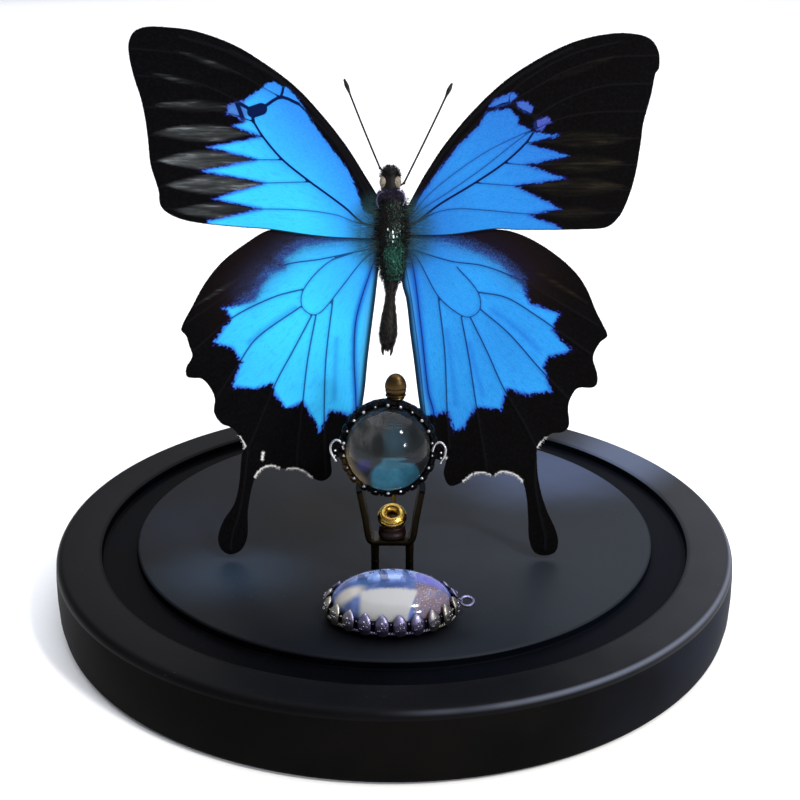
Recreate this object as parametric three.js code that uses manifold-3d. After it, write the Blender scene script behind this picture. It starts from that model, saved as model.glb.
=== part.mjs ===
// A blue swallowtail butterfly, set and mounted upright on a turned black plinth whose groove takes the
// rim of a glass dome. A round glass cabochon stands in a crown setting on a brass cradle in front of it,
// and an oval moonstone pendant lies in front of that.
// Millimetres, +Z up. The origin is the centre of the plinth's underside. The butterfly's back faces -Y.

import * as THREE from 'three';
import { mergeVertices } from 'three/addons/utils/BufferGeometryUtils.js';
import Module from 'manifold-3d';

const wasm = await Module();
wasm.setup();

// ---------------------------------------------------------------- driving dimensions

const GAP = 0.3; // clearance between pieces that touch

const PLINTH_RADIUS = 80;
const PLINTH_SHOULDER = 16.2; // height of the outer ring at its outer shoulder
const RING_INNER_RADIUS = 69.4;
const DISC_RADIUS = 61.4;
const DISC_TOP = 15.54;
const GROOVE_DEPTH = 2;
const EDGE_ROUNDING = 1.8;

// The butterfly's own frame stands on the disc's top, and its Z runs up the wings.
const BUTTERFLY_Y = -17.6; // where the plane of the wings meets the disc's top
const BUTTERFLY_LEAN = THREE.MathUtils.degToRad(15); // it leans back
const FOREWING_DEPTH = -0.35; // plane of the forewings beside the body, in front of the hindwings
const HINDWING_DEPTH = 0.35;
const WING_THICKNESS = 0.3;
const WING_RAISE = Math.tan(THREE.MathUtils.degToRad(3)); // the wing tips come forward a little
const WING_ROOT = 4; // distance from the middle at which the wing planes are measured

const BODY_X = -0.5;
const BODY_DEPTH = 0.5; // more of the body lies behind the wings than in front
const ANTENNA_RADIUS = 0.26;
const CLUB_RADIUS = 0.5;
const LEG_RADIUS = 0.36;

const WIRE_RADIUS = 0.55;
const FOOT_RADIUS = 3;
const FOOT_HEIGHT = 1.3;
const FOOT_PLACE = [-0.6, -3];

const ROUND_STONE_RADIUS = 9; // an 18 mm round cabochon
const ROUND_STONE_DOME = 7.2;
const ROUND_SETTING_PLACE = [-1.2, -30.2, 47.6]; // middle of the stone's girdle
const ROUND_SETTING_LEAN = THREE.MathUtils.degToRad(12); // it faces a little upwards
const CRADLE_Y = -27.4;
const CRADLE_X = -0.7;
const CRADLE_DEPTH = 5;
const CRADLE_FLOOR = 24.2;
const CRADLE_STRAP = 1.5;
const CRADLE_LEG_RADIUS = 0.95;
const CRADLE_LEGS_X = [-4.2, 3.4];

const OVAL_STONE_HALF_LENGTH = 12.5; // a 25 x 18 mm oval cabochon
const OVAL_STONE_HALF_WIDTH = 9;
const OVAL_STONE_DOME = 5.8;
const OVAL_PENDANT_PLACE = [-0.5, -43.9];
const CUP_WALL = 0.8;
const CUP_HEIGHT = 4.2;

// ---------------------------------------------------------------- outlines

// Each outline is the wing seen square on, as [across, up] from the middle of the body and the disc's top,
// and runs from the root round the tip and back.
const FOREWING_LEFT = [
  [-3.8, 81.9], [-6.9, 87.1], [-10.8, 93.1], [-15.8, 99.4], [-21.7, 105.6], [-28, 110.3], [-35.1, 114.5],
  [-43.4, 117.4], [-49.6, 118.2], [-54.4, 118.2], [-56.9, 117.1], [-58, 114.9], [-58, 111.9], [-57.1, 107.7],
  [-55.4, 101.9], [-54.4, 95.6], [-53.7, 88.4], [-52.1, 83], [-51.6, 79.4], [-48.8, 77.2], [-44, 75.9],
  [-35.6, 75], [-27.7, 74.4], [-18.4, 73.1], [-10.9, 72.5], [-4, 72.8],
];
const FOREWING_RIGHT = [
  [2.6, 78.3], [4.7, 82.8], [7.5, 87.6], [11.5, 93.5], [17.9, 100.9], [24.7, 107.1], [32.1, 111.8],
  [39.3, 115.1], [45.5, 116.6], [51, 116.9], [55.7, 115.8], [57.7, 113.2], [58, 109.4], [57.2, 108.1],
  [56.4, 103.8], [54.8, 97.5], [54.2, 92.3], [53.2, 86], [51.6, 80.6], [49.9, 77.2], [47.3, 74.9],
  [42.2, 74.4], [27.4, 74.3], [22.5, 74.5], [11.6, 73.2], [3, 73.5],
];
const HINDWING_LEFT = [
  [-12, 74.6], [-28, 74.3], [-33.1, 71.4], [-38.3, 67.4], [-42.2, 62.7], [-45.3, 57.2], [-47.8, 52.2],
  [-46.7, 50.7], [-46.1, 48.7], [-45.4, 46.2], [-46.8, 43.5], [-46.6, 41.5], [-43.3, 41], [-41.3, 38.7],
  [-40.5, 36.5], [-40.7, 33.5], [-39.2, 31], [-36.7, 29.8], [-35, 27.8], [-33.9, 25.5], [-34.6, 23.9],
  [-35.3, 17.2], [-36.5, 12.4], [-39, 8.5], [-40.2, 4.8], [-39.6, 2.1], [-37.6, 0.8], [-35, 1.8],
  [-33.6, 4.8], [-33.4, 10.6], [-32.6, 15.4], [-31.6, 18.6], [-30.1, 20.4], [-28, 21.1], [-26.5, 20.6],
  [-24.2, 20.4], [-22.2, 20.4], [-20.6, 19.7], [-19, 18.5], [-14.4, 18.5], [-14.4, 23.3], [-13, 25.2],
  [-10.1, 23.9], [-7.1, 35.8], [-5.9, 46.3], [-4.3, 58.7], [-3.9, 62.1], [-3.6, 68], [-3.6, 72],
];
const HINDWING_RIGHT = [
  [12, 74.9], [22.6, 74.5], [26.6, 73.9], [31.3, 71.9], [36.4, 68.6], [40.7, 64.7], [43.2, 61], [45.2, 56.3],
  [46.7, 53.4], [47.8, 50.7], [46.2, 49.2], [44.7, 46], [45.7, 42.1], [45.7, 40.1], [44.8, 39.1],
  [41.4, 38.9], [39.9, 36.9], [39.3, 34.6], [39.5, 30.3], [38, 28.9], [35.5, 28.5], [32.6, 25.5],
  [32.3, 23.3], [32.9, 17.2], [34.6, 11.3], [36.7, 6.7], [37.4, 3.7], [36.7, 1.3], [34.2, 0.5], [32, 1.3],
  [30.8, 4.3], [30.5, 9.6], [30.1, 14.1], [29.2, 17.5], [27.3, 19.1], [24.5, 19.7], [22.5, 18.9],
  [20.4, 19.5], [18, 19.1], [15.9, 17.5], [12.7, 16.4], [11.3, 19.1], [11.8, 22.8], [10.4, 24.4],
  [8.1, 23.8], [5.8, 34.5], [4.4, 45.2], [3.6, 51], [2.7, 58.7], [1.8, 62.1], [1.8, 68], [2.4, 72],
];

// ---------------------------------------------------------------- finishes

const finish = (color, roughness, metalness) => new THREE.MeshStandardMaterial({ color, roughness, metalness });
const BLACK_LACQUER = finish(0x17181c, 0.45, 0);
const BLUE_SCALES = finish(0x35a8f0, 0.5, 0.1);
const DARK_HAIR = finish(0x14120f, 0.9, 0);
const GREEN_DUST = finish(0x1c2f2b, 0.85, 0);
const BRASS = finish(0x9a7a3c, 0.35, 1);
const OLD_BRASS = finish(0x4a3a20, 0.4, 1);
const GOLD = finish(0xd9a53a, 0.25, 1);
const DARK_RED = finish(0x2a0d0b, 0.4, 0);
const BLACK_SILVER = finish(0x3a3a3c, 0.35, 1);
const CLEAR_GLASS = finish(0x6d8f9c, 0.05, 0);
const MOONSTONE = finish(0xb7c4e6, 0.1, 0);

// ---------------------------------------------------------------- helpers

const assembly = new THREE.Group();

/** Adds one named piece to the given group. */
function add(name, geometry, material, group = assembly) {
  const piece = new THREE.Mesh(geometry, material);
  piece.name = name;
  group.add(piece);
  return piece;
}

/** A body turned about a vertical axis from [radius, height] points that run from the axis round to it. */
function turned(profile, segments = 32) {
  const points = profile.map(([radius, height]) => new THREE.Vector2(radius, height));
  return new THREE.LatheGeometry(points, segments).rotateX(Math.PI / 2);
}

/** The [radius, height] points of a quarter round between two directions given in degrees. */
function rounding(radius, height, size, from, to, steps = 4) {
  return Array.from({ length: steps + 1 }, (_, i) => {
    const angle = THREE.MathUtils.degToRad(from + ((to - from) * i) / steps);
    return [radius + size * Math.cos(angle), height + size * Math.sin(angle)];
  });
}

/** A tube of the given radius along a smooth curve through the points. */
function tube(points, radius, sides = 8, steps = 24) {
  const section = new THREE.Shape();
  section.absarc(0, 0, radius, 0, 2 * Math.PI);
  const path = new THREE.CatmullRomCurve3(points.map((p) => new THREE.Vector3(...p)));
  return new THREE.ExtrudeGeometry(section, { extrudePath: path, steps, curveSegments: sides / 2 });
}

/** The manifold solid of a closed geometry. */
function solidOf(geometry) {
  const bare = geometry.clone().deleteAttribute('normal').deleteAttribute('uv');
  const merged = mergeVertices(bare, 1e-4);
  return new wasm.Manifold(new wasm.Mesh({
    numProp: 3,
    vertProperties: merged.attributes.position.array,
    triVerts: new Uint32Array(merged.index.array),
  }));
}

/** The geometry of a manifold solid. */
function geometryOf(solid) {
  const mesh = solid.getMesh();
  const geometry = new THREE.BufferGeometry();
  geometry.setAttribute('position', new THREE.BufferAttribute(new Float32Array(mesh.vertProperties), 3));
  geometry.setIndex(new THREE.BufferAttribute(new Uint32Array(mesh.triVerts), 1));
  geometry.computeVertexNormals();
  return geometry;
}

// ---------------------------------------------------------------- plinth

/** One turned piece: a flat disc, the dome's groove, and an outer ring with rounded shoulders. */
function plinth() {
  const r = EDGE_ROUNDING;
  const floor = DISC_TOP - GROOVE_DEPTH;
  return turned([
    [0, 0],
    ...rounding(PLINTH_RADIUS - 0.5 - r, r, r, -90, 0),
    [PLINTH_RADIUS, PLINTH_SHOULDER / 2],
    ...rounding(PLINTH_RADIUS - 0.3 - r, PLINTH_SHOULDER - r, r, 0, 90),
    [RING_INNER_RADIUS + 4, PLINTH_SHOULDER],
    [RING_INNER_RADIUS + 0.8, DISC_TOP + 0.3],
    [RING_INNER_RADIUS, DISC_TOP - 0.2],
    [RING_INNER_RADIUS, floor],
    [DISC_RADIUS, floor],
    [DISC_RADIUS, DISC_TOP - 0.4],
    [DISC_RADIUS - 0.4, DISC_TOP],
    [0, DISC_TOP],
  ], 72);
}

// ---------------------------------------------------------------- butterfly

/** The thorax, widest where the wings join it. swell makes it larger all round, to cut clearances. */
function thorax(swell = 0) {
  const profile = [[0, 63], [2, 63.1], [2.7, 64.4], [3.1, 67], [3.5, 70], [4.2, 73], [4.3, 76], [3.6, 79.2],
    [3.1, 81], [2, 82], [0, 82.2]];
  const middle = 72.6;
  const longer = 1 + swell / 9.6;
  return turned(profile.map(([radius, height]) => [
    radius ? radius + swell : 0,
    middle + (height - middle) * longer,
  ]), 24).translate(BODY_X, BODY_DEPTH, 0);
}

/** The abdomen, narrow behind the thorax and full near its end. */
function abdomen() {
  return turned([[0, -16.4], [0.6, -16.2], [1.2, -15], [1.8, -13], [2.05, -11.2], [1.9, -9], [1.6, -5.6],
    [1.45, -2.4], [1.8, -0.6], [1.7, 0], [0, 0]], 20)
    .rotateY(0.06).translate(-0.7, BODY_DEPTH, 62.7);
}

/** The head, domed on top and full at the eyes. */
function head() {
  return turned([[0, 82.5], [1.4, 82.6], [2.3, 83.4], [2.5, 84.7], [2.35, 86.2], [2, 87.4], [1.2, 88.2],
    [0, 88.4]], 20).translate(-0.85, BODY_DEPTH, 0);
}

/** A wing plate cut from its outline, raised towards its tip and cleared round the body. */
function wing(outline, depth, side) {
  const shape = new THREE.Shape(outline.map(([across, up]) => new THREE.Vector2(across, up)));
  const plate = new THREE.ExtrudeGeometry(shape, { depth: WING_THICKNESS, bevelEnabled: false, steps: 1 });
  plate.rotateX(Math.PI / 2).translate(0, depth + WING_THICKNESS / 2, 0);
  const raise = new THREE.Matrix4().set(
    1, 0, 0, 0,
    -side * WING_RAISE, 1, 0, WING_RAISE * WING_ROOT,
    0, 0, 1, 0,
    0, 0, 0, 1,
  );
  return geometryOf(solidOf(plate.applyMatrix4(raise)).subtract(solidOf(thorax(GAP))));
}

/** A straight feeler from its root to its clubbed end. */
function antenna(root, tip) {
  const from = new THREE.Vector3(...root);
  const along = new THREE.Vector3(...tip).sub(from);
  const length = along.length();
  const turn = new THREE.Quaternion().setFromUnitVectors(new THREE.Vector3(0, 0, 1), along.normalize());
  return turned([
    [0, 0], [ANTENNA_RADIUS, 0], [ANTENNA_RADIUS, length - 4], [CLUB_RADIUS, length - 1.6],
    [CLUB_RADIUS * 0.8, length - 0.4], [0, length],
  ], 8).applyQuaternion(turn).translate(...root);
}

/** A leg folded under the thorax: out from the breast, along it and back in. */
function leg(side, height, reach) {
  const x = (across) => BODY_X + side * across;
  return tube([
    [x(1.5), 5.3, height], [x(2.6), 6.6, height + 0.9 * reach], [x(3.7), 8.2, height + 1.6 * reach],
    [x(3.3), 8.9, height - 0.4 * reach], [x(2.5), 8.8, height - 2.6 * reach],
    [x(2), 8.1, height - 4.4 * reach],
  ], LEG_RADIUS, 6, 10);
}

const butterfly = new THREE.Group();
butterfly.position.set(0, BUTTERFLY_Y, DISC_TOP);
butterfly.rotation.x = -BUTTERFLY_LEAN;
assembly.add(butterfly);

add('plinth', plinth(), BLACK_LACQUER);
add('thorax', thorax(), GREEN_DUST, butterfly);
add('abdomen', abdomen(), DARK_HAIR, butterfly);
add('head', head(), DARK_HAIR, butterfly);
add('proboscis', new THREE.TorusGeometry(0.75, 0.2, 6, 16).rotateY(Math.PI / 2)
  .translate(BODY_X, BODY_DEPTH + 3.6, 84.2), DARK_HAIR, butterfly);
add('forewing_left', wing(FOREWING_LEFT, FOREWING_DEPTH, -1), BLUE_SCALES, butterfly);
add('forewing_right', wing(FOREWING_RIGHT, FOREWING_DEPTH, 1), BLUE_SCALES, butterfly);
add('hindwing_left', wing(HINDWING_LEFT, HINDWING_DEPTH, -1), BLUE_SCALES, butterfly);
add('hindwing_right', wing(HINDWING_RIGHT, HINDWING_DEPTH, 1), BLUE_SCALES, butterfly);
add('antenna_left', antenna([-3.15, -0.6, 88], [-11.05, -1.5, 107.4]), DARK_HAIR, butterfly);
add('antenna_right', antenna([2.2, -0.6, 84.7], [12.85, -1.5, 106.5]), DARK_HAIR, butterfly);

for (const [side, hand] of [[-1, 'left'], [1, 'right']]) {
  add('leg_front_' + hand, leg(side, 80, -0.55), DARK_HAIR, butterfly);
  add('leg_middle_' + hand, leg(side, 76.4, 0.5), DARK_HAIR, butterfly);
  add('leg_hind_' + hand, leg(side, 73, 0.85), DARK_HAIR, butterfly);
}

// ---------------------------------------------------------------- support

/** A bent wire that rises behind the standing setting and the right hindwing to the breast. */
function supportWire() {
  const [x, y] = FOOT_PLACE;
  const bent = tube([
    [x, y, DISC_TOP + FOOT_HEIGHT + 2 * GAP], [x, y, 20.5], [0.5, -2.9, 26], [3.6, -2.6, 32.8],
    [6.5, -2.5, 41.5], [7, -2.3, 50.5], [6.1, -1, 58.5], [4.5, 0.9, 69.5], [3.5, 2.3, 76],
    [2.2, 3.2, 80.8], [0.3, 2.4, 84.5],
  ], WIRE_RADIUS, 8, 40);
  butterfly.updateMatrix();
  const breast = thorax(GAP).applyMatrix4(butterfly.matrix);
  return geometryOf(solidOf(bent).subtract(solidOf(breast)));
}

/** The round foot that the wire stands in. */
function supportFoot() {
  const base = DISC_TOP + GAP;
  return turned([
    [0, base], [FOOT_RADIUS, base], [FOOT_RADIUS, base + 0.5],
    [1.2, base + FOOT_HEIGHT * 0.8], [0.9, base + FOOT_HEIGHT], [0, base + FOOT_HEIGHT],
  ], 24).translate(...FOOT_PLACE, 0);
}

add('support_wire', supportWire(), BRASS);
add('support_foot', supportFoot(), BRASS);

// ---------------------------------------------------------------- standing setting

/** An open cup for a stone of the given radius, its floor below the girdle at height 0. */
function cup(radius) {
  const inner = radius + GAP;
  const outer = inner + CUP_WALL;
  return turned([
    [0, -3.2], [outer - 1.6, -3.2], [outer, -1.6], [outer, CUP_HEIGHT - 3.2], [inner, CUP_HEIGHT - 3.2],
    [inner, -1.4], [0, -1.4],
  ], 36);
}

/** A cabochon with its flat back in the cup and its dome above the girdle at height 0. */
function cabochon(radius, dome) {
  return turned([
    [0, -1.4 + GAP], [radius - 0.5, -1.4 + GAP],
    ...Array.from({ length: 7 }, (_, i) => {
      const angle = (i * Math.PI) / 12;
      return [i === 6 ? 0 : radius * Math.cos(angle), dome * Math.sin(angle)];
    }),
  ], 36);
}

/** The U-shaped strap that holds the round setting, tapering down to its floor. */
function cradleBand() {
  const strap = new THREE.Shape();
  const half = [[7.6, 37.6], [5.5, CRADLE_FLOOR + 0.8], [4.9, CRADLE_FLOOR]];
  const inside = [[4.2, CRADLE_FLOOR + CRADLE_STRAP], [7.6 - CRADLE_STRAP, 37.6]];
  const loop = [
    ...half,
    ...half.map(([x, z]) => [-x, z]).reverse(),
    ...inside.map(([x, z]) => [-x, z]).reverse(),
    ...inside,
  ];
  strap.setFromPoints(loop.map(([x, z]) => new THREE.Vector2(x, z)));
  return new THREE.ExtrudeGeometry(strap, { depth: CRADLE_DEPTH, bevelEnabled: false, steps: 1 })
    .rotateX(Math.PI / 2).translate(CRADLE_X, CRADLE_Y + CRADLE_DEPTH / 2, 0);
}

const roundSetting = new THREE.Group();
roundSetting.position.set(...ROUND_SETTING_PLACE);
roundSetting.rotation.x = Math.PI / 2 - ROUND_SETTING_LEAN;
assembly.add(roundSetting);
add('crystal_setting', cup(ROUND_STONE_RADIUS), BLACK_SILVER, roundSetting);
add('crystal', cabochon(ROUND_STONE_RADIUS, ROUND_STONE_DOME), CLEAR_GLASS, roundSetting);

add('setting_bail', new THREE.SphereGeometry(1, 20, 12).rotateX(Math.PI / 2)
  .scale(2.35, 1.7, 3).translate(0.4, -26.4, 60), OLD_BRASS);
add('cradle_band', cradleBand(), OLD_BRASS);
const collarBase = CRADLE_FLOOR + CRADLE_STRAP + GAP;
add('cradle_collar', turned([
  [0, 0], [2.9, 0], [2.9, 0.7], [2.3, 1.4], [2.6, 2.6], [0, 2.6],
], 24).translate(CRADLE_X + 0.3, CRADLE_Y, collarBase), DARK_RED);
add('cradle_bead', turned([
  [0.8, 0.5], ...rounding(1.95, 1.9, 1.1, -100, 100, 8), [0.8, 3.3],
  [0.8, 0.5],
], 24).scale(1, 1, 1.1).translate(CRADLE_X + 0.3, CRADLE_Y, collarBase + 2.6), GOLD);

CRADLE_LEGS_X.forEach((x, i) => {
  add(i ? 'cradle_leg_right' : 'cradle_leg_left', turned([
    [0, 0], [1.3, 0], [1.3, 0.5], [CRADLE_LEG_RADIUS, 0.9],
    [CRADLE_LEG_RADIUS, CRADLE_FLOOR - DISC_TOP - 2 * GAP], [0, CRADLE_FLOOR - DISC_TOP - 2 * GAP],
  ], 16).translate(x, CRADLE_Y, DISC_TOP + GAP), OLD_BRASS);
});

// ---------------------------------------------------------------- lying pendant

const ovalPendant = new THREE.Group();
ovalPendant.position.set(...OVAL_PENDANT_PLACE, DISC_TOP + GAP + 3.2);
assembly.add(ovalPendant);
const narrow = OVAL_STONE_HALF_WIDTH / OVAL_STONE_HALF_LENGTH;
add('pendant_setting', cup(OVAL_STONE_HALF_LENGTH).scale(1, narrow, 1), BLACK_SILVER, ovalPendant);
add('pendant_stone', cabochon(OVAL_STONE_HALF_LENGTH, OVAL_STONE_DOME).scale(1, narrow, 1), MOONSTONE, ovalPendant);
add('pendant_loop', new THREE.TorusGeometry(1.3, 0.4, 8, 20).rotateX(Math.PI / 2 - 0.9)
  .translate(15.75, -0.4, 0), BLACK_SILVER, ovalPendant);

export default assembly;
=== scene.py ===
"""A blue swallowtail butterfly set on a dome's base, with a round glass stone and a moonstone before it.

Meshes are made in millimetres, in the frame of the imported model, and become metres when a piece is made.
"""

import logging
import math
from collections.abc import Callable, Sequence
from dataclasses import dataclass, field
from enum import Enum

import bpy
import numpy as np
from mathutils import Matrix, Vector
from mathutils.geometry import delaunay_2d_cdt


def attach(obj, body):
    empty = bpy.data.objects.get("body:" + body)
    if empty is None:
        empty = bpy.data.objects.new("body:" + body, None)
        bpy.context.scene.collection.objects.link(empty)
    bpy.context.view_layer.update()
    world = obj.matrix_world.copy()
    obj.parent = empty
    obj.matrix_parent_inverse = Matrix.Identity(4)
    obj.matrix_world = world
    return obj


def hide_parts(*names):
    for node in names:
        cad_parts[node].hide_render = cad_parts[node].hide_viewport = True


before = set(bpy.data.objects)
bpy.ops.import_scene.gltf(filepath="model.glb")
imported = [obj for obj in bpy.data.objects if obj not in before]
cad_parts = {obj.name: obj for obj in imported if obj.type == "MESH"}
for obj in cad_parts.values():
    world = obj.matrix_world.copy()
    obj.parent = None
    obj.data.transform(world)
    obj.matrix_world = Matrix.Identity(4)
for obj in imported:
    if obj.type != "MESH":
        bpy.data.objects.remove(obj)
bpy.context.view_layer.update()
log = logging.getLogger("display")

Array = np.ndarray
Points = Sequence[tuple[float, ...]]
Colour = tuple[float, float, float]
Socket = bpy.types.NodeSocket

MM = 0.001  # metres in a millimetre
DISC_TOP = 15.54
GAP = 0.3  # clearance between pieces that touch
SEED = 26
ROUNDING_STEPS = 5  # pieces in a rounded corner
HAIR_POINTS = 7
HAIR_FACES = 10
FOOT_GAP = 0.02  # clearance under a foot
HEAD_X = -0.85  # the head's middle
COLLAR_X = -0.75  # the neck's middle
CUP_SIDES = 200  # faces round a setting's cup
BAIL_X, BAIL_Y = 0.4, -26.4  # the bulb's middle


def colour(code: str) -> Colour:
    """Turns a screen colour into the linear values that shaders take.

    Args:
        code: six hexadecimal digits.

    Returns:
        Linear red, green and blue.
    """
    shares = [int(code[i : i + 2], 16) / 255 for i in (0, 2, 4)]
    return tuple(s / 12.92 if s <= 0.04045 else ((s + 0.055) / 1.055) ** 2.4 for s in shares)


# ---------------------------------------------------------------- shapes


@dataclass
class Shape:
    """Triangles in millimetres, with a finish number on each and named values on the points."""

    points: Array
    triangles: Array
    finish: Array
    values: dict[str, Array] = field(default_factory=dict)

    def placed(self, place: "Placement") -> "Shape":
        """Gives the same shape in the row's frame."""
        return Shape(place.apply(self.points), self.triangles, self.finish, self.values)

    def valued(self, **values: float | Array) -> "Shape":
        """Adds values, each one number for all the points or one a point."""
        for name, value in values.items():
            self.values[name] = np.broadcast_to(np.asarray(value, float), len(self.points)).copy()
        return self


@dataclass(frozen=True)
class Placement:
    """A frame that is turned about X and then moved, as the settings and the butterfly are."""

    origin: tuple[float, float, float]
    tilt: float = 0.0

    def apply(self, points: Array) -> Array:
        """Moves points from this frame to the row's.

        Args:
            points: rows of x, y and z.

        Returns:
            The same points in the row's frame.
        """
        c, s = math.cos(self.tilt), math.sin(self.tilt)
        turn = np.array([[1, 0, 0], [0, c, -s], [0, s, c]])
        return points @ turn.T + np.array(self.origin)


def shape(points: Array, triangles: Array, finish: int = 0) -> Shape:
    """Makes a shape with one finish.

    Args:
        points: rows of x, y and z.
        triangles: rows of three point numbers.
        finish: the number of its finish.

    Returns:
        The shape.
    """
    return Shape(np.asarray(points, float), np.asarray(triangles, int), np.full(len(triangles), finish))


def join(shapes: Sequence[Shape]) -> Shape:
    """Puts shapes together as one. A value that a shape lacks is 0 on its points.

    Args:
        shapes: what to join.

    Returns:
        One shape.
    """
    starts = np.cumsum([0] + [len(s.points) for s in shapes])
    names = sorted({name for s in shapes for name in s.values})
    return Shape(
        np.concatenate([s.points for s in shapes]),
        np.concatenate([s.triangles + start for s, start in zip(shapes, starts)]),
        np.concatenate([s.finish for s in shapes]),
        {n: np.concatenate([s.values.get(n, np.zeros(len(s.points))) for s in shapes]) for n in names},
    )


def unit(rows: Array) -> Array:
    """Scales each row to length one."""
    return rows / np.maximum(np.linalg.norm(rows, axis=-1, keepdims=True), 1e-12)


def loft(rings: Array, finish: int = 0, endless: bool = False) -> Shape:
    """Skins a row of rings, and closes its ends unless the last ring meets the first.

    Args:
        rings: rings of points, each anticlockwise seen from the end that the row runs to.
        finish: the number of its finish.
        endless: whether the last ring joins the first.

    Returns:
        The skin.
    """
    count, sides, _ = rings.shape
    index = np.arange(count * sides).reshape(count, sides)
    low = index if endless else index[:-1]
    high = np.roll(index, -1, axis=0) if endless else index[1:]
    low_next, high_next = np.roll(low, -1, axis=1), np.roll(high, -1, axis=1)
    triangles = [np.stack(t, -1).reshape(-1, 3) for t in ((low, low_next, high_next), (low, high_next, high))]
    points = [rings.reshape(-1, 3)]
    if not endless:
        points.append(rings[[0, -1]].mean(axis=1))
        first, last = index[0], index[-1]
        start, end = np.full(sides, count * sides), np.full(sides, count * sides + 1)
        triangles.append(np.stack([start, np.roll(first, -1), first], -1))
        triangles.append(np.stack([end, last, np.roll(last, -1)], -1))
    return shape(np.concatenate(points), np.concatenate(triangles), finish)


def lathe(profile: Points | Array, segments: int, finish: int = 0, endless: bool = False) -> Shape:
    """Turns a profile about Z.

    Args:
        profile: rows of radius and height, outside going up.
        segments: how many faces go round.
        finish: the number of its finish.
        endless: whether the profile closes on itself.

    Returns:
        The turned shape.
    """
    angles = np.arange(segments) * 2 * math.pi / segments
    radius, height = np.asarray(profile, float).T
    rings = np.stack([
        radius[:, None] * np.cos(angles),
        radius[:, None] * np.sin(angles),
        np.broadcast_to(height[:, None], (len(height), segments)),
    ], -1)
    return loft(rings, finish, endless)


def curve(points: Points | Array, step: float, closed: bool = False) -> Array:
    """Draws a smooth curve through points.

    Args:
        points: where it passes, in two or three dimensions.
        step: distance between the points given back.
        closed: whether it comes back to its start.

    Returns:
        Points spaced evenly along the curve. A closed one doesn't repeat its first.
    """
    p = np.asarray(points, float)
    p = np.vstack([p[-1], p, p[:2]]) if closed else np.vstack([2 * p[0] - p[1], p, 2 * p[-1] - p[-2]])
    t = np.linspace(0, 1, 16, endpoint=False)[:, None]
    drawn = []
    for before, a, b, after in zip(p, p[1:], p[2:], p[3:]):
        span = np.linalg.norm(b - a)
        leave = (b - before) * span / (span + np.linalg.norm(a - before))
        arrive = (after - a) * span / (span + np.linalg.norm(after - b))
        drawn.append(
            (2 * t**3 - 3 * t**2 + 1) * a + (t**3 - 2 * t**2 + t) * leave
            + (3 * t**2 - 2 * t**3) * b + (t**3 - t**2) * arrive
        )
    path = np.vstack([*drawn, p[-2]])
    along = np.append(0, np.cumsum(np.linalg.norm(np.diff(path, axis=0), axis=1)))
    stops = np.linspace(0, along[-1], max(3, round(along[-1] / step) + 1))
    even = np.stack([np.interp(stops, along, column) for column in path.T], -1)
    return even[:-1] if closed else even


def round_rings(path: Array, across: Array, upward: Array, radius: float | Array, sides: int) -> Array:
    """Sets a round ring at each point of a path.

    Args:
        path: the rings' middles.
        across: one direction of each ring's plane.
        upward: the other.
        radius: their radius, or one for each.
        sides: points round each.

    Returns:
        Rows of rings.
    """
    angles = np.arange(sides) * 2 * math.pi / sides
    reach = np.broadcast_to(np.asarray(radius, float), len(path))[:, None, None]
    return path[:, None] + reach * (
        np.cos(angles)[None, :, None] * across[:, None] + np.sin(angles)[None, :, None] * upward[:, None]
    )


def tube(path: Array, radius: float | Array, sides: int = 10, finish: int = 0) -> Shape:
    """Sweeps a round section along a path.

    Args:
        path: points along its middle.
        radius: its radius, or one for each point.
        sides: faces round the section.
        finish: the number of its finish.

    Returns:
        A closed tube.
    """
    ahead = unit(np.gradient(path, axis=0))
    side = unit(np.cross(ahead[0], [0.31, 0.17, 0.94]))
    sides_of = []
    for direction in ahead:
        side = unit(side - (side @ direction) * direction)
        sides_of.append(side)
    across = np.array(sides_of)
    return loft(round_rings(path, across, np.cross(ahead, across), radius, sides), finish)


def ball(
    centre: Sequence[float], radius: float | Sequence[float], segments: int = 12, finish: int = 0
) -> Shape:
    """Makes a ball, or an egg where the radius has three values.

    Args:
        centre: its middle.
        radius: one radius, or one along each axis.
        segments: faces round its middle.
        finish: the number of its finish.

    Returns:
        The ball.
    """
    angles = np.linspace(-math.pi / 2, math.pi / 2, segments // 2 + 1)
    made = lathe(np.stack([np.cos(angles) + 1e-4, np.sin(angles)], -1), segments, finish)
    made.points = made.points * np.asarray(radius, float) + np.asarray(centre, float)
    return made


def rounded(start: Points, corner: tuple[float, float], size: float) -> list[tuple[float, float]]:
    """Rounds a corner of a profile.

    Args:
        start: the profile's points before and after the corner.
        corner: the corner itself.
        size: how far from the corner the rounding begins.

    Returns:
        Points of the rounding, which replace the corner.
    """
    before, after = (np.asarray(p, float) for p in start)
    middle = np.asarray(corner, float)
    a = middle + unit(before - middle) * size
    b = middle + unit(after - middle) * size
    t = np.linspace(0, 1, ROUNDING_STEPS + 1)[:, None]
    return [tuple(p) for p in (1 - t) ** 2 * a + 2 * t * (1 - t) * middle + t**2 * b]


def soften(profile: Points, size: float | Sequence[float], closed: bool = True) -> Array:
    """Rounds every corner of a profile.

    Args:
        profile: its corners.
        size: how much each corner is rounded, or one value for all.
        closed: whether the last corner joins the first. If not, both ends stay as they are.

    Returns:
        The rounded profile.
    """
    corners = [tuple(p) for p in profile]
    sizes = np.broadcast_to(np.asarray(size, float), len(corners))
    made: list[tuple[float, float]] = []
    for i, corner in enumerate(corners):
        if not closed and i in (0, len(corners) - 1):
            made.append(corner)
            continue
        made.extend(rounded((corners[i - 1], corners[(i + 1) % len(corners)]), corner, sizes[i]))
    return np.array(made)


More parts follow.
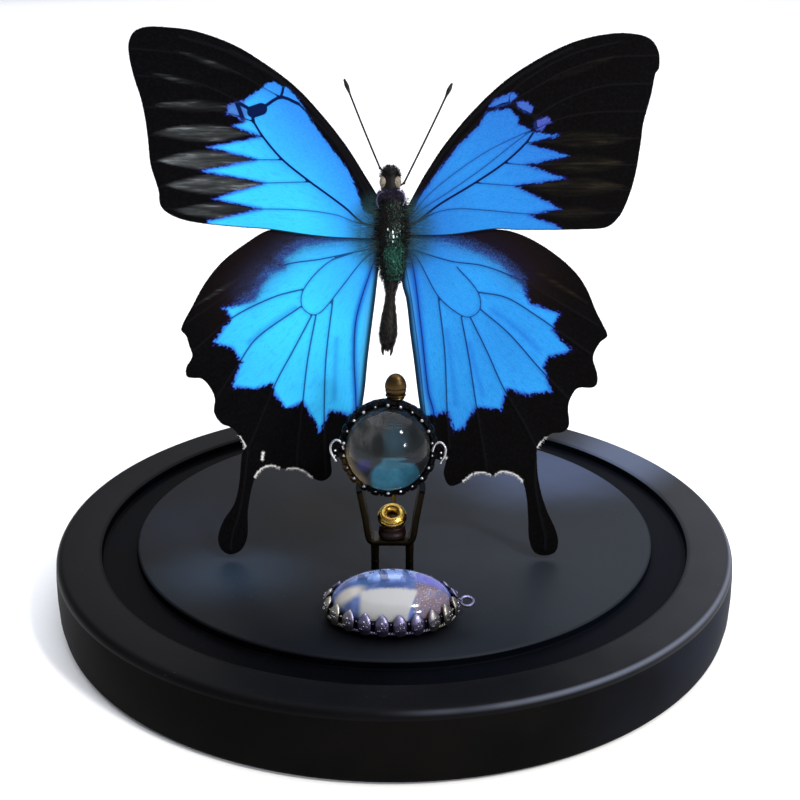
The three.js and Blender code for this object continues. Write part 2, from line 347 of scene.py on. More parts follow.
def near(points: Array, line: Array, closed: bool = False) -> Array:
    """Measures how far points in a plane are from a line of straight pieces.

    Args:
        points: rows of two coordinates.
        line: the line's points.
        closed: whether its end joins its start.

    Returns:
        A distance for each point.
    """
    starts = line if closed else line[:-1]
    ends = np.roll(line, -1, axis=0) if closed else line[1:]
    best = np.full(len(points), np.inf)
    for a, b in zip(starts, ends):
        along = np.clip(((points - a) @ (b - a)) / max((b - a) @ (b - a), 1e-12), 0, 1)
        best = np.minimum(best, np.hypot(*(points - a - along[:, None] * (b - a)).T))
    return best


def within(points: Array, loop: Array) -> Array:
    """Tells which points in a plane a closed line holds.

    Args:
        points: rows of two coordinates.
        loop: the closed line's points.

    Returns:
        True for each point inside.
    """
    x, y = points.T
    held = np.zeros(len(points), bool)
    for (x0, y0), (x1, y1) in zip(loop, np.roll(loop, -1, axis=0)):
        crossing = (y0 > y) != (y1 > y)
        held ^= crossing & (x < (x1 - x0) * (y - y0) / (y1 - y0 if y1 != y0 else 1.0) + x0)
    return held


def depth_in(points: Array, loop: Array) -> Array:
    """Measures how deep points lie inside a closed line, less than 0 outside it.

    Args:
        points: rows of two coordinates.
        loop: the closed line's points.

    Returns:
        A signed distance for each point.
    """
    return near(points, loop, closed=True) * np.where(within(points, loop), 1.0, -1.0)


def hairs(
    root: Array,
    heading: Array,
    out: Array,
    length: Array,
    width: float,
    bend: Array,
    finish: int,
) -> Shape:
    """Makes hairs, each a bent blade with three sides.

    Args:
        root: where each stands.
        heading: which way it points.
        out: which way its skin faces.
        length: a column of lengths.
        width: how thick they are at the root.
        bend: where each tip goes besides, as a share of its length.
        finish: the number of their finish.

    Returns:
        The hairs, with a value "tip" that is 1 at each tip.
    """
    count = len(root)
    side = unit(np.cross(heading, out + 0.01))
    third = np.cross(heading, side)
    turns = [(math.cos(q), math.sin(q)) for q in (0.3, 2.4, 4.5)]
    bottom = root - out * width
    middle = root + heading * length * 0.5 + out * length * 0.06
    rows = [bottom + width * 0.5 * (side * p + third * q) for p, q in turns]
    rows += [middle + width * 0.36 * (side * p + third * q) for p, q in turns]
    rows.append(root + (heading - out * 0.05 + bend) * length)
    faces = [(i, (i + 1) % 3, (i + 1) % 3 + 3) for i in range(3)]
    faces += [(i, (i + 1) % 3 + 3, i + 3) for i in range(3)]
    faces += [(i + 3, (i + 1) % 3 + 3, 6) for i in range(3)] + [(2, 1, 0)]
    triangles = (np.arange(count)[:, None, None] * HAIR_POINTS + np.array(faces)).reshape(-1, 3)
    made = shape(np.stack(rows, 1).reshape(-1, 3), triangles, finish)
    return made.valued(tip=np.tile([0, 0, 0, 0.5, 0.5, 0.5, 1.0], count))


@dataclass(frozen=True)
class Coat:
    """Fine hairs that grow on a skin."""

    count: int
    length: tuple[float, float]
    width: float
    lift: float  # how much they stand off the skin, against how much they lie along it
    lie: tuple[float, float, float]
    tangle: float = 0.3
    finish: int = 1

    def grow(
        self, skin: Shape, rng: np.random.Generator, wanted: Callable[[Array], Array] | None = None
    ) -> Shape:
        """Grows the hairs, each a bent three-sided blade.

        Args:
            skin: what they stand on.
            rng: the source of chance.
            wanted: how dense they are at given points, from 0 to 1.

        Returns:
            The hairs, with a chance "shade" for each.
        """
        a, b, c = (skin.points[skin.triangles[:, i]] for i in range(3))
        normal = np.cross(b - a, c - a)
        area = np.linalg.norm(normal, axis=1)
        if wanted is not None:
            area = area * wanted((a + b + c) / 3)
        chosen = rng.choice(len(area), self.count, p=area / area.sum())
        share = np.sqrt(rng.random((self.count, 1)))
        other = rng.random((self.count, 1))
        root = a[chosen] * (1 - share) + b[chosen] * share * (1 - other) + c[chosen] * share * other
        out = unit(normal[chosen])
        chance = rng.normal(0, self.tangle, (self.count, 3))
        heading = unit(out * self.lift + np.array(self.lie) + chance)
        length = rng.uniform(*self.length, (self.count, 1))
        made = hairs(root, heading, out, length, self.width, chance * 0.15, self.finish)
        return made.valued(shade=np.repeat(rng.random(self.count), HAIR_POINTS))


def blade(
    path: Array,
    across: Array,
    half_width: float | Array,
    half_depth: float | Array,
    sides: int = 12,
    finish: int = 0,
) -> Shape:
    """Sweeps a flat oval section along a path.

    Args:
        path: points along its middle.
        across: the direction of the section's width, for all the path or for each point.
        half_width: half the section's width at each point.
        half_depth: half its thickness at each point.
        sides: faces round the section.
        finish: the number of its finish.

    Returns:
        A closed blade.
    """
    ahead = unit(np.gradient(path, axis=0))
    wide = np.broadcast_to(across, path.shape)
    wide = unit(wide - (wide * ahead).sum(1, keepdims=True) * ahead)
    deep = np.cross(ahead, wide)
    angles = np.arange(sides) * 2 * math.pi / sides
    w = np.broadcast_to(np.asarray(half_width, float), len(path))[:, None, None]
    d = np.broadcast_to(np.asarray(half_depth, float), len(path))[:, None, None]
    rings = path[:, None] + w * np.cos(angles)[None, :, None] * wide[:, None]
    return loft(rings + d * np.sin(angles)[None, :, None] * deep[:, None], finish)


def make_piece(
    name: str,
    made: Shape,
    materials: Sequence[bpy.types.Material],
    stands_in: bool = True,
    crease: float = 42.0,
) -> bpy.types.Object:
    """Makes a Blender object of a shape and ties it to the frame.

    Args:
        name: the piece's name.
        made: its triangles in the row's frame.
        materials: its finishes, in the order of their numbers.
        stands_in: whether it replaces the CAD node of its name.
        crease: angle in degrees past which an edge stays sharp.

    Returns:
        The object.
    """
    mesh = bpy.data.meshes.new(name)
    count = len(made.triangles)
    mesh.vertices.add(len(made.points))
    mesh.vertices.foreach_set("co", (made.points * MM).astype(np.float32).ravel())
    mesh.loops.add(count * 3)
    mesh.loops.foreach_set("vertex_index", made.triangles.astype(np.int32).ravel())
    mesh.polygons.add(count)
    mesh.polygons.foreach_set("loop_start", np.arange(0, count * 3, 3, dtype=np.int32))
    mesh.polygons.foreach_set("material_index", made.finish.astype(np.int32))
    for material in materials:
        mesh.materials.append(material)
    for key, value in made.values.items():
        mesh.attributes.new(key, "FLOAT", "POINT").data.foreach_set("value", value.astype(np.float32))
    mesh.update(calc_edges=True)
    mesh.validate()
    mesh.shade_smooth()
    mesh.set_sharp_from_angle(angle=math.radians(crease))
    piece = bpy.data.objects.new(name, mesh)
    bpy.context.scene.collection.objects.link(piece)
    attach(piece, "root")
    if stands_in:
        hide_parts(name)
    log.info("%s: %d triangles", name, count)
    return piece


# ---------------------------------------------------------------- finishes


class Graph:
    """A material's nodes, added one by one and linked by their sockets."""

    def __init__(self, name: str) -> None:
        """Makes an empty material.

        Args:
            name: the material's name.
        """
        self.material = bpy.data.materials.new(name)
        self.material.use_nodes = True
        self.tree = self.material.node_tree
        self.tree.nodes.clear()

    def add(
        self,
        kind: str,
        inputs: dict[str | int, object] | None = None,
        out: int | str = 0,
        **settings: object,
    ) -> Socket:
        """Adds a node.

        Args:
            kind: the node's type, without "ShaderNode".
            inputs: a value, a colour's code or a socket for each named or numbered input.
            out: which output is wanted.
            **settings: the node's own settings.

        Returns:
            The output socket.
        """
        node = self.tree.nodes.new("ShaderNode" + kind)
        for key, value in settings.items():
            setattr(node, key, value)
        for key, value in (inputs or {}).items():
            if isinstance(value, str):
                value = colour(value)
            if isinstance(value, Socket):
                self.tree.links.new(value, node.inputs[key])
            elif isinstance(value, tuple) and len(value) == 3 and node.inputs[key].type == "RGBA":
                node.inputs[key].default_value = (*value, 1.0)
            else:
                node.inputs[key].default_value = value
        return node.outputs[out]

    def place(self) -> Socket:
        """Gives the point on the object, in millimetres."""
        point = self.add("TexCoord", out="Object")
        return self.add("VectorMath", {0: point, 1: (1 / MM,) * 3}, operation="MULTIPLY")

    def value(self, name: str) -> Socket:
        """Reads a value kept on the mesh's points."""
        return self.add("Attribute", out="Fac", attribute_name=name)

    def math(self, operation: str, a: float | Socket, b: float | Socket = 0.0) -> Socket:
        """Works out one sum.

        Args:
            operation: the Math node's operation.
            a: the first value.
            b: the second value.

        Returns:
            The result.
        """
        return self.add("Math", {0: a, 1: b}, operation=operation)

    def step(self, value: Socket, low: float, high: float) -> Socket:
        """Turns a value smoothly from 0 at low to 1 at high.

        Args:
            value: what is read.
            low: where the result is 0.
            high: where it is 1. It may be the smaller.

        Returns:
            The share.
        """
        flip = high < low
        inputs = {"Value": value, "From Min": min(low, high), "From Max": max(low, high)}
        inputs.update({"To Min": 1.0 if flip else 0.0, "To Max": 0.0 if flip else 1.0})
        return self.add("MapRange", inputs, interpolation_type="SMOOTHSTEP")

    def noise(
        self, scale: float, detail: float = 3.0, at: Socket | None = None, stretch: Colour = (1, 1, 1)
    ) -> Socket:
        """Gives a noise from 0 to 1.

        Args:
            scale: how many waves go in a millimetre.
            detail: how many finer waves it holds.
            at: where it is read, on the object if not given.
            stretch: how much denser it is along each axis.

        Returns:
            The noise.
        """
        spot = self.add("VectorMath", {0: at or self.place(), 1: stretch}, operation="MULTIPLY")
        return self.add("TexNoise", {"Vector": spot, "Scale": scale, "Detail": detail, "Roughness": 0.55})

    def mix(self, share: float | Socket, first: str | Socket, second: str | Socket) -> Socket:
        """Blends two colours.

        Args:
            share: how much of the second shows.
            first: the first colour.
            second: the second colour.

        Returns:
            The blend.
        """
        return self.add("Mix", {0: share, 6: first, 7: second}, 2, data_type="RGBA")

    def both(self, a: Socket | float, b: Socket | float) -> Socket:
        """Multiplies two shares."""
        return self.math("MULTIPLY", a, b)

    def paint(self, base: Socket, tint: str | Socket, where: Socket, strength: float | Socket) -> Socket:
        """Lays a colour over another.

        Args:
            base: the colour under it.
            tint: the colour laid on.
            where: the share of it that shows.
            strength: what that share is multiplied by.

        Returns:
            The blend.
        """
        return self.mix(self.both(where, strength), base, tint)

    def around(self, centre: Colour, reach: Colour) -> Socket:
        """Gives the distance from a point, 1 at the reach along each axis.

        Args:
            centre: the point, in millimetres.
            reach: half the size along each axis.

        Returns:
            The distance.
        """
        offset = self.add("VectorMath", {0: self.place(), 1: centre}, operation="SUBTRACT")
        scaled = self.add("VectorMath", {0: offset, 1: tuple(1 / r for r in reach)}, operation="MULTIPLY")
        return self.add("VectorMath", {0: scaled}, "Value", operation="LENGTH")

    def bump(self, height: Socket, depth: float, under: Socket | None = None) -> Socket:
        """Turns a height from 0 to 1 into a normal.

        Args:
            height: the height.
            depth: how deep it is, in millimetres.
            under: a normal that it builds on.

        Returns:
            The normal.
        """
        inputs: dict[str | int, object] = {"Height": height, "Distance": depth * MM, "Strength": 1.0}
        if under is not None:
            inputs["Normal"] = under
        return self.add("Bump", inputs)

    def finish(
        self,
        base: str | Socket,
        roughness: float | Socket,
        normal: Socket | None = None,
        more: dict[str, object] | None = None,
    ) -> bpy.types.Material:
        """Ends the material in a Principled shader.

        Args:
            base: its colour.
            roughness: its roughness.
            normal: its normal.
            more: its other inputs by name.

        Returns:
            The material.
        """
        inputs: dict[str | int, object] = {"Base Color": base, "Roughness": roughness, **(more or {})}
        if normal is not None:
            inputs["Normal"] = normal
        surface = self.add("BsdfPrincipled", inputs)
        end = self.tree.nodes.new("ShaderNodeOutputMaterial")
        self.tree.links.new(surface, end.inputs["Surface"])
        return self.material


@dataclass(frozen=True)
class Lacquer:
    """Satin lacquer over turned wood, with soft clouds, faint turning lines and a little dust, and painted
    light: a sheen towards the lit side, a highlight on the outer edge, and soft patches of painted sheen and
    shadow.
    """

    name: str
    base: str
    cloud: str
    roughness: float
    specular: float
    dust: float = 0.25
    # painted sheen: the colour the lacquer takes towards its lit side
    painted_sheen: str = "000000"
    # which way the painted sheen grows, and where along that way it starts and is full
    sheen_direction: tuple[float, float, float, float] = (0.9, 0.25, -50.0, 35.0)
    # how strong the painted highlight along the ring's outer edge is
    wear_and_edge_highlight: float = 0.0
    # soft patches of painted sheen and painted shadow: a middle, a reach and a colour each
    painted_light_patches: Sequence[tuple[tuple[float, float], tuple[float, float], str]] = ()

    def made(self) -> bpy.types.Material:
        """Makes the material."""
        g = Graph(self.name)
        place = g.place()
        flat = g.add("VectorMath", {0: place, 1: (1, 1, 0)}, operation="MULTIPLY")
        radius = g.add("VectorMath", {0: flat}, "Value", operation="LENGTH")
        turned = g.noise(3.2, 2, g.add("CombineXYZ", {0: radius}))
        clouds = g.noise(0.045, 3)
        grit = g.noise(5.0, 3)
        cells = g.add("TexVoronoi", {"Vector": place, "Scale": 0.75, "Randomness": 1.0})
        specks = g.both(g.step(cells, 0.09, 0.03), g.step(g.noise(0.09, 2), 0.5, 0.62))
        base = g.mix(g.step(clouds, 0.35, 0.7), self.base, self.cloud)
        # painted sheen: lighter towards the side that the light comes from
        ax, ay, low, high = self.sheen_direction
        toward_sheen = g.add("VectorMath", {0: place, 1: (ax, ay, 0)}, "Value", operation="DOT_PRODUCT")
        toward_sheen = g.math("ADD", toward_sheen, g.both(g.math("SUBTRACT", g.noise(0.03, 3), 0.5), 55.0))
        base = g.mix(g.step(toward_sheen, low, high), base, self.painted_sheen)
        # patches of painted sheen, and darker ones of painted shadow
        for (px, py), (rx, ry), code in self.painted_light_patches:
            reach = g.math("ADD", g.around((px, py, DISC_TOP), (rx, ry, 99)), g.both(clouds, 0.5))
            base = g.mix(g.step(reach, 1.35, 0.35), base, code)
        # painted highlight along the outer shoulder's rounded edge, on the lit side
        edge = g.both(g.step(radius, 78.4, 79.1), g.step(g.add("SeparateXYZ", {0: place}, "Z"), 15.1, 15.8))
        painted_edge_highlight = g.both(g.both(edge, g.step(toward_sheen, -8.0, 30.0)), self.wear_and_edge_highlight)
        base = g.mix(painted_edge_highlight, base, "9aa2b8")
        base = g.paint(base, "8d8f96", specks, self.dust)
        rough = g.math("ADD", g.both(clouds, 0.12), self.roughness - 0.06)
        rough = g.math("ADD", rough, g.both(grit, 0.05))
        normal = g.bump(grit, 0.006, g.bump(turned, 0.012))
        return g.finish(base, rough, normal, {"Specular IOR Level": self.specular})


@dataclass(frozen=True)
class Felt:
    """Pressed felt under the base."""

    name: str = "felt"
    shade: str = "16171a"

    def made(self) -> bpy.types.Material:
        """Makes the material."""
        g = Graph(self.name)
        fibres = g.noise(3.5, 5, stretch=(1, 3, 1))
        base = g.mix(fibres, self.shade, "2b2d31")
        more = {"Sheen Weight": 0.3, "Sheen Roughness": 0.6, "Specular IOR Level": 0.1}
        return g.finish(base, 0.95, g.bump(fibres, 0.12), more)


class Blue(Enum):
    """The blue of a wing: its bright middle, its deeper side and its edge, in a lit copy and a shaded copy.
    """

    # the blue of the left wings, lit: the lighter cyan is painted light
    CYAN_LIT = ("2db6e8", "2170c6", "2a36a4")
    # the same blue on the right wings, in shade: the darker azure is painted shade
    AZURE_SHADED = ("1f85cc", "1853a6", "1d2894")


@dataclass(frozen=True)
class WingScales:
    """The upper side of a wing: a field of blue scales that frays out into velvet black."""

    blue: Blue
    ground: str = "050506"
    smoke: str = "46494a"
    veil: str = "262c4a"
    streaks: str = "707476"

    def made(self) -> bpy.types.Material:
        """Makes the material."""
        g = Graph("blue_scales_" + self.blue.name.lower())
        bright, deep, edge = self.blue.value
        field_in, vein, root = g.value("field"), g.value("vein"), g.value("root")
        ray = g.add("CombineXYZ", {0: g.both(g.value("fan"), 22.0), 1: g.both(root, 0.16)})
        streak = g.noise(1.0, 4, ray)
        fine_streak = g.noise(3.6, 3, ray)
        scatter = g.noise(1.7, 4)
        scales = g.add("TexVoronoi", {"Vector": g.place(), "Scale": 5.5}, "Color")
        scale = g.add("SeparateColor", {0: scales})
        tear = g.math("ADD", g.both(streak, 1.0), g.both(fine_streak, 1.2))
        tear = g.math("SUBTRACT", g.math("ADD", tear, g.both(scatter, 0.9)), 1.55)
        frayed = g.math("ADD", field_in, g.both(tear, g.value("fray")))
        soft = g.math("ADD", g.both(g.value("veil"), 2.6), 0.2)
        speckle = g.both(g.math("SUBTRACT", scale, 0.5), g.both(g.value("veil"), 1.5))
        share = g.step(g.math("DIVIDE", g.math("ADD", frayed, speckle), soft), -1.0, 1.0)

        ground = g.mix(g.step(scatter, 0.35, 0.75), self.ground, "0a090b")
        ground = g.paint(ground, "17181c", g.step(vein, 0.25, 0.0), 0.28)
        brushed = g.noise(1.1, 3, stretch=(0.1, 1, 1))
        smoky = g.both(g.value("smoke"), g.math("ADD", g.both(g.step(brushed, 0.34, 0.66), 0.9), 0.35))
        ground = g.mix(smoky, ground, self.smoke)
        ground = g.paint(ground, self.streaks, smoky, g.step(brushed, 0.54, 0.7))
        ground = g.paint(ground, "17100f", g.value("umber"), 0.8)
        veiled = g.both(g.value("veil"), g.math("ADD", g.both(streak, 0.7), g.both(scale, 0.5)))
        ground = g.mix(veiled, ground, self.veil)
        fringe = g.both(g.step(frayed, -0.6, 0.0), g.step(scale, 0.0, 0.6))
        ground = g.paint(ground, "150f4a", fringe, 0.7)

        inner = g.mix(g.step(frayed, -0.1, 0.5), edge, deep)
        inner = g.paint(inner, bright, g.step(field_in, 0.0, 1.0), g.step(streak, -0.15, 0.5))
        inner = g.mix(g.value("depth"), inner, deep)
        inner = g.paint(inner, deep, g.value("shade"), 0.3)
        inner = g.paint(inner, deep, g.step(vein, 0.75, 0.0), 0.4)
        inner = g.paint(inner, "2a4474", g.value("veil"), 0.65)
        inner = g.mix(g.value("dusk"), inner, "3a3688")
        inner = g.paint(inner, deep, g.step(root, 22.0, 5.0), 0.6)
        inner = g.paint(inner, "86cdf4", scale, 0.07)
        inner = g.paint(inner, deep, g.step(fine_streak, 0.5, 0.25), 0.36)
        inner = g.mix(g.value("hem"), inner, "3f86b8")
        # the darker band along the fold, and painted shade along the pleats
        inner = g.paint(inner, "1548a8", g.value("fold"), 0.85)
        base = g.mix(share, ground, inner)
        lines = g.both(g.step(vein, 0.16, -0.02), g.step(frayed, -0.6, 0.4))
        base = g.paint(base, "06143c", lines, g.value("ink"))
        down = g.both(g.step(root, 10.0, 4.2), g.step(fine_streak, 0.28, 0.56))
        base = g.mix(down, base, "1f3a3e")
        rim = g.step(g.value("rim"), 0.3, 0.08)
        base = g.paint(base, "0a0809", rim, 0.93)
        base = g.paint(base, "e8e6e4", g.value("white"), g.step(scatter, 0.3, 0.5))
        normal = g.bump(scale, 0.012, g.bump(fine_streak, 0.02))
        return g.finish(base, 0.62, normal, {"Specular IOR Level": 0.012})


@dataclass(frozen=True)
class WingUnderside:
    """The under side of a wing: brown, greyer along the rays, with a pale band and a dark margin."""

    name: str = "underside_scales"
    brown: str = "2c211b"
    pale: str = "6f6456"

    def made(self) -> bpy.types.Material:
        """Makes the material."""
        g = Graph(self.name)
        root, rim = g.value("root"), g.value("rim")
        ray = g.add("CombineXYZ", {0: g.both(g.value("fan"), 22.0), 1: g.both(root, 0.1)})
        streak = g.noise(1.4, 4, ray)
        scatter = g.noise(2.2, 4)
        base = g.mix(g.step(streak, 0.3, 0.7), self.brown, "3d3027")
        band = g.both(g.step(rim, 2.6, 4.0), g.step(rim, 9.5, 6.0))
        base = g.paint(base, self.pale, band, g.step(streak, 0.25, 0.75))
        spots = g.both(g.value("lunule"), g.step(scatter, 0.2, 0.5))
        base = g.mix(spots, base, "b06a3a")
        base = g.paint(base, "120d0b", g.step(g.value("vein"), 0.25, 0.0), 0.8)
        base = g.paint(base, "e0dcd6", g.value("white"), g.step(scatter, 0.3, 0.5))
        normal = g.bump(scatter, 0.02, g.bump(streak, 0.03))
        return g.finish(base, 0.75, normal, {"Specular IOR Level": 0.15})


@dataclass(frozen=True)
class Hair:
    """Fine hair, darker at its root, that varies from one hair to the next."""

    name: str
    dark: str
    light: str
    gloss: float = 0.3

    def made(self) -> bpy.types.Material:
        """Makes the material."""
        g = Graph(self.name)
        share = g.both(g.step(g.value("shade"), 0.15, 1.0), g.math("ADD", g.both(g.value("tip"), 0.7), 0.3))
        base = g.mix(share, self.dark, self.light)
        more = {"Specular IOR Level": self.gloss, "Sheen Weight": 0.08, "Sheen Roughness": 0.4}
        return g.finish(base, 0.5, None, more)


@dataclass(frozen=True)
class Chitin:
    """The insect's hard skin, dusted with loose scales."""

    name: str
    shade: str
    dust: str
    amount: float = 0.4
    roughness: float = 0.35
    tone: str = "17110d"

    def made(self) -> bpy.types.Material:
        """Makes the material."""
        g = Graph(self.name)
        mottle = g.noise(1.6, 4)
        grain = g.noise(9.0, 3)
        cells = g.add("TexVoronoi", {"Vector": g.place(), "Scale": 5.0})
        dusted = g.both(g.step(cells, 0.34, 0.2), g.step(mottle, 0.6 - self.amount * 0.3, 0.75))
        base = g.mix(g.step(mottle, 0.3, 0.7), self.shade, self.tone)
        base = g.mix(dusted, base, self.dust)
        rough = g.math("ADD", g.both(grain, 0.2), self.roughness - 0.1)
        return g.finish(base, rough, g.bump(grain, 0.03, g.bump(mottle, 0.06)), {"Specular IOR Level": 0.16})


@dataclass(frozen=True)
class Metal:
    """Cast or drawn metal, dark where it isn't rubbed, with fine scratches and soft patches of painted
    reflection.
    """

    name: str
    bright: str
    dark: str
    tarnish: float
    roughness: float
    painted_light_patches: tuple[tuple[Colour, Colour, str], ...] = ()

    def made(self) -> bpy.types.Material:
        """Makes the material."""
        g = Graph(self.name)
        blotch = g.noise(0.7, 4)
        grain = g.noise(6.0, 4)
        scratch = g.noise(4.0, 3, stretch=(0.6, 0.6, 6))
        hollow = g.step(g.add("NewGeometry", out="Pointiness"), 0.5, 0.44)
        dull = g.step(g.math("ADD", g.both(blotch, 0.6), g.both(grain, 0.4)), 0.7 - self.tarnish * 0.4, 0.35)
        wear_and_edge_highlight = g.math("MAXIMUM", g.both(g.math("SUBTRACT", 1.0, dull), self.tarnish), hollow)
        bright: str | Socket = self.bright
        # patches of painted reflection that lighten the metal where light falls on it
        for centre, reach, tint in self.painted_light_patches:
            bright = g.mix(g.step(g.around(centre, reach), 1.2, 0.5), bright, tint)
        base = g.mix(wear_and_edge_highlight, bright, self.dark)
        rough = g.math(
            "ADD", g.both(wear_and_edge_highlight, 0.22), g.math("ADD", g.both(scratch, 0.12), self.roughness - 0.06)
        )
        normal = g.bump(grain, 0.012, g.bump(blotch, 0.03))
        return g.finish(base, rough, normal, {"Metallic": 1.0})


@dataclass(frozen=True)
class Enamel:
    """Dark red enamel with small bubbles in it."""

    name: str = "red_enamel"

    def made(self) -> bpy.types.Material:
        """Makes the material."""
        g = Graph(self.name)
        cloud = g.noise(0.8, 3)
        pits = g.step(g.add("TexVoronoi", {"Vector": g.place(), "Scale": 2.2}), 0.12, 0.02)
        base = g.mix(cloud, "080202", "190604")
        base = g.mix(pits, base, "0b0303")
        return g.finish(base, 0.45, g.bump(cloud, 0.02), {"Specular IOR Level": 0.2})


@dataclass(frozen=True)
class ClearGlass:
    """Clear glass with a breath of smoke in it."""

    name: str = "clear_glass"

    def made(self) -> bpy.types.Material:
        """Makes the material."""
        g = Graph(self.name)
        marks = g.noise(1.4, 4)
        base = g.mix(g.step(marks, 0.45, 0.8), "f4fafd", "cfe0ea")
        rough = g.math("ADD", g.both(g.step(marks, 0.4, 0.8), 0.08), 0.07)
        return g.finish(
            base,
            rough,
            None,
            {
                "Transmission Weight": 1.0,
                "IOR": 1.45,
                "Specular Tint": (0.2, 0.2, 0.22, 1.0),
                "Coat Weight": 0.05,
            },
        )


@dataclass(frozen=True)
class SmokyFoil:
    """The painted back that shows through the round stone: smoke above, and a patch of sea blue below."""

    centre: tuple[float, float, float]
    name: str = "painted_foil"

    def made(self) -> bpy.types.Material:
        """Makes the material."""
        g = Graph(self.name)
        x, y, z = self.centre
        smoke = g.noise(0.32, 4)
        grit = g.noise(2.0, 4)
        drift = g.noise(0.5, 4, stretch=(1.6, 1, 0.5))
        base = g.mix(g.step(smoke, 0.35, 0.72), "0c0e10", "1d2024")
        haze = g.step(g.around((x - 3.4, y, z + 3.2), (4.4, 9, 4.6)), 1.1, 0.25)
        base = g.paint(base, "464442", haze, g.step(drift, 0.36, 0.62))
        slate = g.step(g.around((x + 1.2, y, z + 1.2), (2.6, 9, 3.6)), 1.1, 0.3)
        base = g.paint(base, "243c47", slate, 0.85)
        cleft = g.step(g.around((x - 1.8, y, z + 0.2), (1.2, 9, 2.6)), 1.1, 0.5)
        base = g.paint(base, "040506", cleft, 0.9)
        sea = g.step(
            g.math("ADD", g.around((x + 1.2, y, z - 5.2), (4.2, 9, 3.5)), g.both(drift, 0.4)), 1.28, 1.04
        )
        ripple = g.mix(g.step(smoke, 0.3, 0.7), "1c4c5e", "2b657b")
        base = g.mix(sea, base, ripple)
        line = g.step(g.around((x + 3.4, y, z - 2.3), (2.4, 9, 0.3)), 1.1, 0.5)
        base = g.paint(base, "0a1830", line, 0.8)
        shore = g.step(g.around((x + 0.9, y, z - 1.9), (2.8, 9, 0.3)), 1.1, 0.4)
        base = g.paint(base, "4f7480", shore, 0.35)
        violet = g.step(g.around((x - 3.9, y, z - 2.9), (1.5, 9, 1.2)), 1.1, 0.4)
        base = g.paint(base, "2a2060", violet, 0.6)
        amber = g.step(g.around((x - 6.0, y, z - 4.0), (3.6, 9, 4.8)), 1.1, 0.4)
        amber = g.both(amber, g.step(g.around((x, y, z), (8.6, 9, 8.6)), 0.66, 0.88))
        base = g.paint(base, "7d6a4c", amber, g.step(drift, 0.15, 0.45))
        return g.finish(base, 0.5, g.bump(grit, 0.03), {"Specular IOR Level": 0.2})


@dataclass(frozen=True)
class Moonstone:
    """Milky stone with a blue glow at the back and a warm clouded end, and painted light on it: a window's
    reflection, a pale streak of reflection and glints.
    """

    centre: tuple[float, float, float]
    name: str = "moonstone"

    def made(self) -> bpy.types.Material:
        """Makes the material."""
        g = Graph(self.name)
        x, y, z = self.centre
        cloud = g.noise(0.22, 4)
        flakes = g.noise(1.0, 4, stretch=(2.2, 0.7, 1))
        spot = g.place()
        across = g.math("SUBTRACT", g.add("SeparateXYZ", {0: spot}, "X"), x)
        along = g.math("SUBTRACT", g.add("SeparateXYZ", {0: spot}, "Y"), y)
        rough = g.math("ADD", g.both(flakes, 0.08), 0.1)
        base = g.mix(g.step(cloud, 0.35, 0.7), "35466f", "54659a")
        back = g.step(g.math("ADD", along, g.both(cloud, 2.0)), 2.0, 6.5)
        base = g.mix(back, base, "203572")
        panes = g.noise(0.42, 3, stretch=(1.5, 0.4, 0.3))
        shimmer = g.both(
            g.step(panes, 0.44, 0.56), g.step(g.around((x - 0.5, y + 1.2, z + 5), (9, 3.6, 9)), 1.1, 0.5)
        )
        base = g.paint(base, "88a4e0", shimmer, 0.75)
        lavender = g.step(g.around((x + 8.0, y + 0.5, z + 4), (4.6, 3.4, 9)), 1.1, 0.4)
        base = g.paint(base, "6a68b4", lavender, 0.75)
        warm = g.both(g.step(across, 4.2, 5.4), g.step(along, -0.2, -2.4))
        base = g.paint(base, "64565f", warm, g.step(flakes, 0.3, 0.5))
        # painted glints at the warm end
        painted_sparkle = g.both(warm, g.step(g.add("TexVoronoi", {"Vector": spot, "Scale": 2.1}), 0.26, 0.12))
        base = g.paint(base, "a9a3b2", painted_sparkle, 0.8)
        # a pale block on the dome: a painted reflection of a window
        bow = g.math("ADD", across, g.both(g.math("MULTIPLY", along, along), 0.035))
        window_reflection = g.both(g.step(bow, 6.2, 5.7), g.step(g.math("ADD", along, g.both(flakes, 0.8)), -3.2, -4.2))
        window_reflection = g.both(window_reflection, g.step(across, -7.0, -5.6))
        base = g.paint(base, "989896", window_reflection, 0.92)
        # a pale streak on the left end: a painted reflection
        streak = g.step(g.around((x - 8.8, y - 3.4, z + 3), (3.9, 1.9, 9)), 1.2, 0.4)
        base = g.paint(base, "a6a29a", streak, 0.9)
        more = {
            "Subsurface Weight": 0.15,
            "Subsurface Scale": 1.2 * MM,
            "Coat Weight": 0.35,
            "Coat Roughness": 0.03,
            "Specular IOR Level": 0.25,
        }
        return g.finish(base, rough, g.bump(flakes, 0.01), more)


@dataclass(frozen=True)
class Paper:
    """The plain pale paper that everything stands on."""

    name: str = "pale_paper"

    def made(self) -> bpy.types.Material:
        """Makes the material."""
        g = Graph(self.name)
        fibres = g.noise(0.8, 3)
        base = g.mix(fibres, "f4f4f3", "fafafa")
        return g.finish(base, 0.85, None, {"Specular IOR Level": 0.1})


# ---------------------------------------------------------------- base


